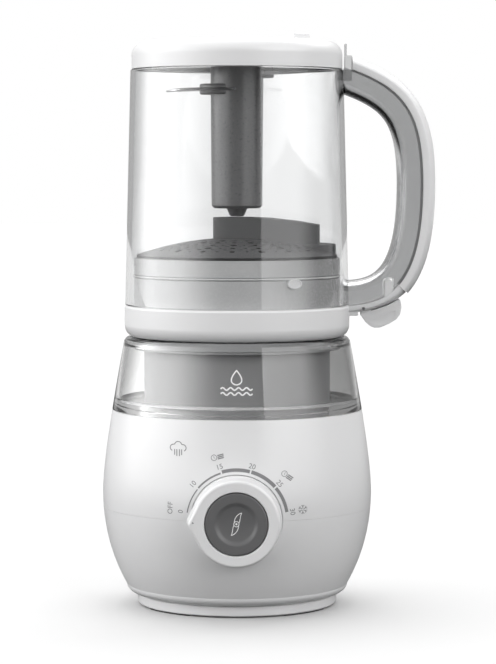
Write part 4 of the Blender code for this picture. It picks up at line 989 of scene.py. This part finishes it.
def build_scale():
    """Bands round the dial that thicken clockwise, their numbers, and small pictures beside them."""
    mesh = bmesh.new()
    stops = list(SCALE_NUMBERS.values())
    stops[0] += 0.6
    for first, last, width in zip(stops, stops[1:], SCALE_WIDTHS):
        band = arc((0, 0), SCALE_RADIUS + width / 2, first - 0.9, last + 0.9, 24)
        ribbon(mesh, band, [width] * len(band), on_body)
    for text, angle in SCALE_NUMBERS.items():
        glyphs(mesh, text, NUMBER_HEIGHT, polar(NUMBER_RADIUS, angle), angle - 90, on_body)
    glyphs(mesh, "OFF", NUMBER_HEIGHT, (-0.0354, 0.0060), 88, on_body)
    draw_cloud(mesh, (-0.0312, 0.0372))
    draw_clock_and_bars(mesh, (-0.0103, 0.0338), 8)
    draw_clock_and_bars(mesh, (0.0268, 0.0236), -42)
    draw_snowflake(mesh, (0.0354, 0.0052))
    settle(as_object("dial_scale", mesh), "base", "grey_ink")

    mesh = bmesh.new()
    line(mesh, [(-0.0233, 0.0011), (-0.0226, 0.0006)], on_knob, 0.0006)
    settle(as_object("dial_pointer_mark", mesh), "dial", "grey_ink")


def build_tank_mark():
    """A water drop over two waves, printed on the front of the tank."""
    mesh = bmesh.new()
    left_side = [(0, 0.0068), (-0.0012, 0.0052), (-0.0034, 0.0028), (-0.0026, 0.0006)]
    drop = curve(left_side, 14)
    drop += arc((0, 0.0016), (0.0028, 0.0024), 202, 338, 14)
    drop += [(-x, y) for x, y in drop[14:0:-1]]
    line(mesh, drop, on_tank, 0.0007, True)
    for level in (-0.0030, -0.0056):
        wave = [(-0.0085 + 0.0005 * i, level + 0.0007 * math.sin(i * math.pi / 4.25)) for i in range(35)]
        line(mesh, wave, on_tank, 0.0008)
    settle(as_object("tank_mark", mesh), "base", "white_ink")


def build_blade_picture():
    """Two curved blade outlines about a ring, on the button."""
    mesh = bmesh.new()
    width = 0.00038
    blade = curve([(-0.0012, 0.0004), (-0.0012, 0.0030), (0.0004, 0.0054), (0.0028, 0.0060)], 12)
    blade += curve([(0.0028, 0.0060), (0.0018, 0.0040), (0.0022, 0.0020), (0.0012, 0.0004)], 12)[1:]
    for half_turn in (0, 180):
        line(mesh, shifted(blade, (0, 0), half_turn), on_button, width)
    line(mesh, arc((0, 0), 0.0014, 0, 350, 28), on_button, width, True)
    line(mesh, arc((0, 0), 0.00032, 0, 330, 11), on_button, 0.0005, True)
    settle(as_object("button_picture", mesh), "button", "white_ink")


# ---- the jar's lid, under the jar -----------------------------------------------------------------------
def handle_place(t, lower):
    """(point, outward normal) on the line where the handle's clear core meets its white outside."""
    curve = HANDLE_BOTTOM if lower else HANDLE_TOP
    along = bezier_slope(curve, t)
    return bezier(curve, t), Vector((-along.y, along.x))


def handle_stations(first, last, top_count, bottom_count):
    """Places down the handle, from a point on the upper curve to a point on the lower one."""
    places = [handle_place(first + (1 - first) * i / top_count, False) for i in range(top_count)]
    places += [handle_place(last * i / bottom_count, True) for i in range(bottom_count + 1)]
    return places


def section_at(place, section):
    point, out = place
    return [(point.x + out.x * d, y, point.y + out.y * d) for y, d in section]


def crown(half_width, near, shoulder, far, steps=14):
    """A handle section: square at near, rounded from shoulder to far."""
    round_side = arc((0, shoulder), (half_width, far - shoulder), 0, 180, steps)
    return [(half_width, near)] + round_side + [(-half_width, near)]


def arm_depth(t):
    """How deep the lid's arm is at a place on the lower handle curve: it thins towards the lid."""
    share = min(1.0, (t - COVER_END) / (0.8 - COVER_END))
    return ARM_DEPTH + (ARM_DEPTH_AT_LID - ARM_DEPTH) * share


def build_arm():
    loops = []
    first, count = COVER_END + 0.0015, 24
    for i in range(count + 1):
        t = first + (1 - first) * i / count
        section = crown(HANDLE_HALF_WIDTH - 0.0005, GAP / 2, 0.0022, arm_depth(t), 12)
        loops.append(section_at(handle_place(t, True), section))
    return skin("arm", loops)


def build_lid():
    under = [(0, 0.1592), (0.0155, 0.1592), (0.0155, 0.1506), (0.0535, 0.1506)]
    under += [(0.0545, LID_BOTTOM_Z), (0.0572, LID_BOTTOM_Z)]
    side = arc((0.0572, 0.1535), (LID_RADIUS - 0.0572, 0.1535 - LID_BOTTOM_Z), -75, 0, 9)
    side += [(LID_RADIUS, LID_TOP_Z - 0.001), (LID_RADIUS - 0.0006, LID_TOP_Z)]
    inside = [(COLLAR_RADIUS + GAP, LID_TOP_Z), (COLLAR_RADIUS + GAP, LID_FLOOR_Z), (0.0175, LID_FLOOR_Z)]
    inside += [(0.0175, 0.1615), (0, 0.1615)]
    lid = turned("lid_shell", under + side + inside)
    post = [(0.0819, 0.168), (0.0861, 0.1707)] + arc((0.0840, 0.1764), (0.0021, 0.0020), 0, 180, 10)
    key = side_prism("key", post, HANDLE_HALF_WIDTH - 0.0015)
    root = box("root", (0.0600, -0.0080, 0.1584), (0.0672, 0.0080, 0.1622))
    add(lid, build_arm(), key, soften(root, 0.0006))
    x, z = LEVER_PIVOT
    reach = LEVER_HALF_WIDTH + GAP
    slot = box("slot", (x - 0.0032, -reach, 0.150), (x + 0.0040, reach, z + 0.0018))
    cut(lid, cross_hole(0.0010, x, z), slot)
    inlet = cylinder("inlet", 0.0052, 0.145, 0.156, CAP_AT)
    cut(lid, inlet, cylinder("pin_pocket", 0.0028, 0.145, 0.1517, INTERLOCK_AT, 32))
    settle(lid, "lid", "white_plastic", "jar_lid")


def build_collar():
    """Frosted cup wall that plugs the jar's mouth, a small boss on its side, and its sealing ring; the steam
    duct inside it is built by build_duct.
    """
    first, lip = LID_FLOOR_Z + GAP, COLLAR_TOP_Z - 0.0018
    outline = [(0.0550, first), (COLLAR_RADIUS, first), (COLLAR_RADIUS, SEAL_Z - 0.0016)]
    outline += [(0.0560, SEAL_Z - 0.0014), (0.0560, SEAL_Z), (COLLAR_RADIUS, SEAL_Z + 0.0002)]
    outline += [(COLLAR_RADIUS, COLLAR_TOP_Z), (0.0520, COLLAR_TOP_Z), (0.0520, lip), (0.0542, lip - 0.002)]
    collar = turned("collar_wall", outline, ease=0.0003)
    boss = [(0, 0.0571), (0.0036, 0.0571), (0.0036, 0.0583), (0.0030, 0.0586), (0.0026, 0.0582), (0, 0.0582)]
    boss = turned("collar_boss", boss, FINE, 0.0002)
    moved(boss, Matrix.Diagonal((1.25, 0.75, 1, 1)))
    moved(boss, Matrix.Translation((0, 0, 0.1778)) @ turn(32) @ turn(90, "X"))
    settle(boss, "lid", "boss_plastic", "lid_collar")
    settle(collar, "lid", "frosted_plastic", "lid_collar")

    first, last = SEAL_Z - 0.0012, SEAL_Z - 0.0002
    bulge = arc((0.0571, (first + last) / 2), (0.0006, (last - first) / 2), -90, 90, 8)
    seal = turned("lid_seal_ring", [(0.0563, first)] + bulge + [(0.0563, last)])
    settle(seal, "lid", "silicone", "lid_seal")


def build_duct():
    """Sloped hood that leads steam from the inlet up to the strainer's hump."""
    left, right, near, far, wall = -0.008, 0.040, 0.0185, 0.0340, 0.0014
    slope = 0.34

    def wedge(name, inset, bottom, drop):
        x0, x1 = left + inset, right - inset
        start = 0.1696 - drop + slope * inset
        end = 0.1696 - drop + slope * (right - left - inset)
        outline = [(x0, bottom), (x1, bottom), (x1, end), (x0, start)]
        return side_prism(name, outline, (far - near) / 2 - inset, (near + far) / 2)

    duct = soften(wedge("steam_hood", 0.0, LID_FLOOR_Z + GAP, 0.0), 0.0007)
    cut(duct, wedge("inside", wall, LID_FLOOR_Z - 0.01, wall))
    cut(duct, box("mouth", (0.029, near + 0.004, 0.175), (0.037, far - 0.004, 0.195)))
    settle(duct, "lid", "duct_plastic", "steam_duct")


def build_lever():
    """Thumb lever under the lid's arm, hinged at its inner end, with a shallow panel in each side."""
    x, z = LEVER_PIVOT
    tab = [(0.0687, 0.1584), (0.0712, 0.1549), (0.0736, 0.1527), (0.0761, 0.1516), (0.0794, 0.1517)]
    tab += [(0.0842, 0.1537), (0.0884, 0.1562), (0.0904, 0.1590), (0.0913, 0.1630)]
    outline = arc((x, z), 0.0015, 100, 205, 8) + tab
    for t in (0.655, 0.70, 0.75, 0.80, 0.85):
        point, out = handle_place(t, True)
        place = point + out * (arm_depth(t) + 0.00025)
        outline.append((place.x, place.y))
    lever = soften(side_prism("latch_lever", eased(outline, 0.0012, 4), LEVER_HALF_WIDTH), 0.0009, 4)
    centre = Vector((0.0805, 0.1575))
    panel = [tuple(centre + (Vector(p) - centre) * 0.72) for p in tab[1:]]
    for side in (-1, 1):
        cut(lever, side_prism("panel", eased(panel, 0.001, 4), 0.0005, side * LEVER_HALF_WIDTH))
    cut(lever, cross_hole(0.0009, x, z))
    settle(lever, "lever", "white_plastic", "lid_lever")


# ---- the strainer ---------------------------------------------------------------------------------------
def dome_height(r, drop=0.0):
    return STRAINER_EDGE_Z + STRAINER_RISE * (1 - (r / STRAINER_RADIUS) ** 2) - drop


def quadrant(side, reach):
    """Plan of the back-right part of the strainer, with its corner rounded about the axis."""
    swing = math.degrees(math.asin(side / reach))
    return arc((0, 0), side, 180, 270, 12) + arc((0, 0), reach, -swing, 90 + swing, 40)


def strainer_slot(radius, degrees):
    """A cutter for a short slot that lies across a spoke."""
    ends = arc((0.0009, 0), 0.0006, -90, 90, 4) + arc((-0.0009, 0), 0.0006, 90, 270, 4)
    return moved(prism("slot", [(radius + y, x) for x, y in ends], 0.17, 0.22), turn(degrees))


def clear_of_hump(radius, degrees):
    x, y = polar(radius, degrees)
    return x < -HUMP_CORNER - 0.003 or y < -HUMP_CORNER - 0.003


def strainer_holes():
    """Spokes of round holes with short slots on both sides, clear of the raised quarter."""
    tools = []
    for spoke in range(18):
        angle = spoke * 20 + 7
        for k in range(5):
            radius = 0.0200 + 0.0065 * k
            if clear_of_hump(radius, angle):
                size = 0.0016 if (spoke + k) % 3 else 0.0021
                tools.append(cylinder("hole", size, 0.17, 0.22, polar(radius, angle), 14))
            for swing in (-5.2, 5.2):
                if radius < 0.045 and clear_of_hump(radius + 0.003, angle + swing):
                    tools.append(strainer_slot(radius + 0.003, angle + swing))
            if k > 0 and clear_of_hump(radius, angle + 10):
                tools.append(cylinder("fine", 0.0009, 0.17, 0.22, polar(radius, angle + 10), 10))
    return many("holes", tools)


def build_strainer():
    """Domed perforated plate with a raised steam hump over one quarter."""
    radii = [STRAINER_RADIUS * i / 12 for i in range(13)]
    seat = COLLAR_TOP_Z + GAP
    outline = [(r, dome_height(r)) for r in radii]
    outline += [(STRAINER_RADIUS, seat), (0.0508, seat), (0.0508, 0.1875), (0.0490, 0.1875)]
    outline += [(0.0490 * i / 10, dome_height(0.0490 * i / 10, STRAINER_SKIN)) for i in range(10, -1, -1)]
    plate = turned("strainer_plate_mesh", outline, ease=0.0002)
    crest = [(0, 0.18), (0.060, 0.18), (0.060, 0.2062), (HUMP_REACH, 0.2088), (0.034, 0.2108)]
    crest += [(0.020, 0.2124), (0.010, 0.2129), (0, HUMP_Z)]
    under = [(0, 0.17), (0.060, 0.17)] + [(r, z - STRAINER_SKIN) for r, z in crest[2:]]
    hump = prism("hump", quadrant(HUMP_CORNER, HUMP_REACH), 0.195, 0.22)
    combine(hump, turned("limit", crest, ease=0), "INTERSECT")
    inner = quadrant(HUMP_CORNER - STRAINER_SKIN, HUMP_REACH - STRAINER_SKIN)
    room = combine(prism("room", inner, 0.185, 0.22), turned("limit", under, ease=0), "INTERSECT")
    step = prism("step", quadrant(HUMP_CORNER + 0.0008, STRAINER_RADIUS - 0.0008), 0.1914, STEP_Z)
    under_step = prism("under_step", quadrant(HUMP_CORNER - 0.0010, 0.0478), 0.180, STEP_Z - STRAINER_SKIN)
    add(plate, soften(step, 0.0006), soften(hump, 0.0012, 4, 50))
    cut(plate, room, under_step, strainer_holes())
    cut(plate, cylinder("socket", 0.0052, HUMP_Z - 0.0010, 0.23))
    settle(plate, "strainer_plate", "strainer_plastic", "strainer")


# ---- the jar --------------------------------------------------------------------------------------------
def build_jar():
    """Clear jar wall, open downwards, with its neck and closed top."""
    outside = [(0, JAR_TOP_Z), (0.0540, JAR_TOP_Z), (JAR_NECK_RADIUS, 0.3008)]
    outside += [(JAR_NECK_RADIUS, JAR_SHOULDER_Z), (JAR_TOP_RADIUS, JAR_SHOULDER_Z)]
    outside += [(JAR_BOTTOM_RADIUS, JAR_BOTTOM_Z)]
    cavity = [(JAR_BOTTOM_RADIUS - JAR_WALL, JAR_BOTTOM_Z), (jar_radius(0.2952) - JAR_WALL, 0.2952)]
    cavity += [(0.0545, 0.2965), (0.0537, JAR_CEILING_Z), (0.0175, JAR_CEILING_Z), (0.0165, 0.2986)]
    cavity += [(0.0165, JAR_INSIDE_TOP_Z), (0, JAR_INSIDE_TOP_Z)]
    jar = turned("jar_wall", outside + cavity, ease=0.0006)
    cut(jar, cylinder("spindle_hole", 0.0070, 0.29, 0.31))
    settle(jar, "jar_body", "clear_plastic", "jar")


def build_handle():
    """Clear channel of the handle, with the lug at its top, and the white strip that closes it."""
    wall, gap, half = 0.0024, GAP / 2, HANDLE_HALF_WIDTH
    outer = crown(half, -gap, -0.0085, -HANDLE_CORE_DEPTH)
    inner = crown(half - wall, -gap, -0.0080, wall - HANDLE_CORE_DEPTH)
    places = handle_stations(0.0, 1.0, 28, 28)
    start, out = places[0]
    places.insert(0, (start - bezier_slope(HANDLE_TOP, 0.0) * 0.0045, out))
    core = skin("handle_core", [section_at(place, outer + inner[::-1]) for place in places])
    trim = [(0, 0.15), (JAR_BOTTOM_RADIUS + 0.0001, 0.15), (JAR_BOTTOM_RADIUS + 0.0001, JAR_BOTTOM_Z)]
    trim += [(JAR_TOP_RADIUS + 0.0001, JAR_SHOULDER_Z), (JAR_TOP_RADIUS + 0.0001, 0.32), (0, 0.32)]
    top_cut = box("top_cut", (0.03, -0.03, JAR_SHOULDER_Z - 0.0004), (0.0591, 0.03, 0.32))
    cut(core, turned("trim", trim, ease=0), top_cut)
    x = JAR_TOP_RADIUS
    key = box("key", (x + 0.0005, -0.0066, 0.2880), (COVER_START_X - 0.0004, 0.0066, 0.3020))
    fin = box("fin", (x + 0.0006, -0.0040, 0.2960), (x + 0.0017, 0.0040, 0.3085))
    add(core, soften(key, 0.0006), soften(fin, 0.0003))
    cut(core, box("key_slot", (0.0814, -0.02, 0.16), (0.0866, 0.02, 0.1791)))
    settle(core, "jar_body", "handle_plastic", "jar")

    places = handle_stations(0.0, COVER_END - 0.0005, 28, 18)
    start, out = places[0]
    places.insert(0, (start - bezier_slope(HANDLE_TOP, 0.0) * 0.006, out))
    edge = HANDLE_HALF_WIDTH - 0.0002
    # a thin dark grey strip laid in the gap between the clear core and the white cover
    flat = rectangle(-edge, -GAP_STRIP, edge, GAP_STRIP)
    strip = skin("handle_gap_strip", [section_at(place, flat) for place in places[1:]])
    settle(strip, "jar_body", "dark_grey_plastic", "handle_cover")
    section = eased(crown(HANDLE_HALF_WIDTH, gap, 0.003, HANDLE_COVER_DEPTH), 0.0004)
    cover = skin("handle_strip", [section_at(place, section) for place in places])
    cut(cover, box("trim", (0.03, -0.03, 0.28), (COVER_START_X, 0.03, 0.32)))
    settle(cover, "jar_body", "white_plastic", "handle_cover")


def build_drive_cap():
    """White cap over the jar's closed end, open in the middle for the blade coupling."""
    bottom = JAR_SHOULDER_Z + GAP
    corner = (CAP_RADIUS - CAP_ROUNDING, CAP_TOP_Z - CAP_ROUNDING)
    outer = [(CAP_RADIUS, bottom)] + arc(corner, CAP_ROUNDING, 0, 90, 14)
    well = [(0.0160, CAP_TOP_Z), (0.0130, CAP_TOP_Z - 0.001), (0.0130, COUPLING_Z), (0.0150, COUPLING_Z)]
    inner = [(0.0150, CAP_CEILING_Z), (corner[0], CAP_CEILING_Z), (0.0552, 0.3045), (0.0563, 0.3015)]
    inner.append((0.0563, bottom))
    cap = turned("top_cap", outer + well + inner)
    for angle in (-37, 143):
        outline = arc((0, 0), 0.0450, -9.5, 9.5, 12) + arc((0, 0), 0.0400, 9.5, -9.5, 12)
        lug = soften(prism("lug", outline, CAP_TOP_Z - 0.001, high("drive_cap").z), 0.0009, 4, 50)
        add(cap, moved(lug, turn(angle)))
    settle(cap, "jar_body", "white_plastic", "drive_cap")


# ---- the blade unit -------------------------------------------------------------------------------------
def build_sleeve():
    """Dark sleeve that hangs down the middle of the jar, with two slotted holders for the blades."""
    outline = [(0, NUB_TIP_Z), (0.0034, NUB_TIP_Z), (0.0042, NUB_TIP_Z + 0.0008), (0.0058, SLEEVE_BOTTOM_Z)]
    outline += [(0.0125, SLEEVE_BOTTOM_Z), (0.0141, SLEEVE_BOTTOM_Z + 0.0014), (SLEEVE_RADIUS, 0.300)]
    outline += [(0.0115, 0.300), (0.0112, 0.2210), (0, 0.2210)]
    sleeve = turned("sleeve", outline, 96, 0.0007)
    for side, z in ((-1, LOWER_BLADE_Z), (1, UPPER_BLADE_Z)):
        holder = turned("holder", rectangle(0, z - 0.0030, 0.0106, z + 0.0030), FINE, 0.0012)
        shift(holder, side * 0.0100, side * 0.0035)
        cut(holder, cylinder("inside", 0.0131, 0.2, 0.32))
        half = BLADE_THICKNESS / 2 + GAP
        slot = turned("slot", rectangle(0.0150, z - half, 0.0300, z + half), FINE, 0)
        add(sleeve, cut(holder, slot))
    settle(sleeve, "blade_unit", "dark_grey_plastic", "blade_sleeve")


def blade_outline(inset):
    """Plan of one scimitar blade: round the front of the sleeve, then out to a point on the left."""
    outer = arc((-0.0105, 0.0015), (0.0290 - inset, 0.0200 - inset), 285, 184, 36)
    inner = arc((0, 0), 0.0152 + inset * 0.1, 178, 268, 30)
    return outer + [(inset * 2 - BLADE_REACH, 0.0022)] + [(-0.026, 0.0005)] + inner


def build_blades():
    """Two blades ground thin along their outer edge; one droops to its tip and the other lifts."""
    half = BLADE_THICKNESS / 2
    for name, node, z, droop, angle in (
        ("blade_low", "lower_blade", LOWER_BLADE_Z, -0.0010, 0),
        ("blade_high", "upper_blade", UPPER_BLADE_Z, 0.0008, 180),
    ):
        rows = []
        for inset, height in ((0.0010, -half), (0.0, -half * 0.4), (0.0002, half * 0.4), (0.0030, half)):
            row = []
            for x, y in blade_outline(inset):
                share = max(0.0, (math.hypot(x, y) - SLEEVE_RADIUS - 0.006) / BLADE_REACH)
                row.append((x, y, height + droop * (share / 0.5) ** 2))
            rows.append(row)
        blade = moved(skin(name, rows), Matrix.Translation((0, 0, z)) @ turn(angle))
        settle(shade(blade, 12), "blade_unit", "steel", node)


# ---- CAD nodes that stay --------------------------------------------------------------------------------
def dress_frame():
    """Gives each CAD node that stays its look, and rounds its edges."""
    slots = {part["node"]: part["material_slot"] for part in frame["record"]["subparts"]}
    for name, obj in frame["nodes"].items():
        obj.data.materials.clear()
        obj.data.materials.append(look(slots[name]))
        if obj.hide_render:
            continue
        obj.modifiers.new("weld", "WELD").merge_threshold = WELD
        if name == "mains_cable":
            step = obj.modifiers.new("smooth", "SUBSURF")
            step.levels = step.render_levels = 2
            continue
        step = obj.modifiers.new("edges", "BEVEL")
        step.width = 0.0003
        step.segments = 2
        step.limit_method = "ANGLE"
        step.angle_limit = math.radians(35)


# ---- studio ---------------------------------------------------------------------------------------------
CAMERA_FORWARD = 1.467  # from the base's axis
CAMERA_RIGHT = 0.0061
CAMERA_UP = 0.245
CAMERA_PITCH = 3.75
CAMERA_LENS = 143.1
FLOOR_SIZE = 12.0
FLOOR_SHIFT = 2.5  # its middle lies behind the object
FLOOR_TONES = (0.11, 0.68)  # as seen by the object, and by the camera
LEFT_RISE, LEFT_FALL, LEFT_LIGHT = (-14, -72), (-95, -132), 3.9  # degrees, degrees, brightness
RIGHT_RISE, RIGHT_FALL, RIGHT_LIGHT = (25, 26), (62, 94), 4.8
RIGHT_CLIMB = (0.05, 0.45, 0.34, 1.0)  # it is dimmer low down
LIGHT_TOP = (0.36, 0.72)  # sine of the elevation where the side lights end
OVERHEAD_RISE, OVERHEAD_LIGHT = (0.40, 0.85), 0.55
BEHIND_RISE, BEHIND_FROM, BEHIND_LIGHT = (0.0, 0.5), (0.35, 0.6), 2.0
FILL_TURN, FILL_LIGHT = (-0.2, 0.5), (0.34, 0.48)  # brighter behind the object than in front of it
GLOW_FROM = (0.05, 0.30)  # the floor fades into the white background at these distances from the axis
FAR_FLOOR_FROM, FAR_FLOOR_LIGHT = (1.2, 3.5), 0.8  # as the object sees it


def seen_straight(tree):
    """1 for what the camera sees directly or through clear walls, 0 for mirror images and light."""
    path = wire(tree, "LightPath", {})
    bounces = maths(tree, "ADD", path["Glossy Depth"], path["Diffuse Depth"])
    unbroken = maths(tree, "LESS_THAN", bounces, 0.5)
    through = maths(tree, "MULTIPLY", path["Is Transmission Ray"], unbroken)
    return maths(tree, "MAXIMUM", path["Is Camera Ray"], through)


def build_floor():
    """Pale floor that fades into the white background: close by for the camera, far off for the object."""
    mesh = bmesh.new()
    bmesh.ops.create_grid(mesh, x_segments=1, y_segments=1, size=FLOOR_SIZE / 2)
    floor = as_object("floor", mesh)
    floor.location = (ORIGIN.x, ORIGIN.y + FLOOR_SHIFT, TABLE_Z)
    made, tree, shader = new_look("floor")
    seen = seen_straight(tree)
    dark, pale = ((tone, tone, tone, 1) for tone in FLOOR_TONES)
    where = wire(tree, "TexCoord", {})["Object"]
    axis = (0, -FLOOR_SHIFT, 0)
    away = wire(tree, "VectorMath", {0: where, 1: axis}, operation="DISTANCE")["Value"]
    near = ramp(tree, away, *GLOW_FROM)
    distant = ramp(tree, away, *FAR_FLOOR_FROM, 0.0, FAR_FLOOR_LIGHT)
    inputs = {
        "Base Color": mixed(tree, seen, dark, pale),
        "Roughness": 0.9,
        "Specular IOR Level": 0.1,
        "Emission Color": (1, 1, 1, 1),
        "Emission Strength": maths(tree, "MAXIMUM", maths(tree, "MULTIPLY", near, seen), distant),
    }
    feed(tree, shader, inputs)
    floor.data.materials.append(darken(made, near, 0.0))


def side_light(tree, azimuth, rise, fall, *strengths):
    """A light that rises and falls along the azimuth."""
    shape = ramp(tree, azimuth, *rise), ramp(tree, azimuth, *fall, 1.0, 0.0)
    return maths(tree, "MULTIPLY", *shape, *strengths)


def studio_light(tree):
    """How bright the studio is in a direction: azimuth runs from the camera's side, positive to the right.

    A broad light on the left fades out towards the camera, a straight-edged one stands on the right, and a
    soft one hangs overhead. Low down behind the object it is dim.
    """
    where = wire(tree, "TexCoord", {})["Generated"]
    x, y, z = wire(tree, "SeparateXYZ", {0: where})
    azimuth = maths(tree, "DEGREES", maths(tree, "ARCTAN2", x, maths(tree, "MULTIPLY", y, -1.0)))
    top = ramp(tree, z, *LIGHT_TOP, 1.0, 0.0)
    left = side_light(tree, azimuth, LEFT_RISE, LEFT_FALL, top, LEFT_LIGHT)
    climb = ramp(tree, z, *RIGHT_CLIMB)
    right = side_light(tree, azimuth, RIGHT_RISE, RIGHT_FALL, climb, top, RIGHT_LIGHT)
    overhead = ramp(tree, z, *OVERHEAD_RISE, 0.0, OVERHEAD_LIGHT)
    above = ramp(tree, z, *BEHIND_FROM)
    behind = maths(tree, "MULTIPLY", ramp(tree, y, *BEHIND_RISE, 0.0, BEHIND_LIGHT), above)
    return maths(tree, "ADD", left, right, overhead, behind, ramp(tree, y, *FILL_TURN, *FILL_LIGHT))


def build_world():
    """Plain white behind the object, and soft studio light for everything that it reflects."""
    world = bpy.data.worlds.new("studio")
    bpy.context.scene.world = world
    world.use_nodes = True
    tree = world.node_tree
    light = wire(tree, "Mix", {"Factor": seen_straight(tree), "A": studio_light(tree), "B": 1.0})
    feed(tree, tree.nodes["Background"], {"Color": light["Result"]})


def build_camera():
    data = bpy.data.cameras.new("camera")
    data.lens = CAMERA_LENS
    data.sensor_width = 36
    camera = bpy.data.objects.new("camera", data)
    bpy.context.scene.collection.objects.link(camera)
    camera.location = ORIGIN + Vector((CAMERA_RIGHT, -CAMERA_FORWARD, CAMERA_UP))
    camera.rotation_euler = (math.radians(90 - CAMERA_PITCH), 0, 0)
    bpy.context.scene.camera = camera


def build_studio():
    build_floor()
    build_world()
    build_camera()
    bpy.context.scene.view_settings.view_transform = "Standard"


# ---- all of it ------------------------------------------------------------------------------------------
build_lower_shell()
build_upper_shell()
build_foot()
build_screws()
build_tank_window()
build_tank_core()
build_deck()
build_tank_cap()
build_interlock_pin()
build_blade_coupling()
build_dial()
build_button()
build_spring()
build_scale()
build_tank_mark()
build_blade_picture()
build_lid()
build_collar()
build_duct()
build_lever()
build_strainer()
build_jar()
build_handle()
build_drive_cap()
build_sleeve()
build_blades()
dress_frame()
build_studio()
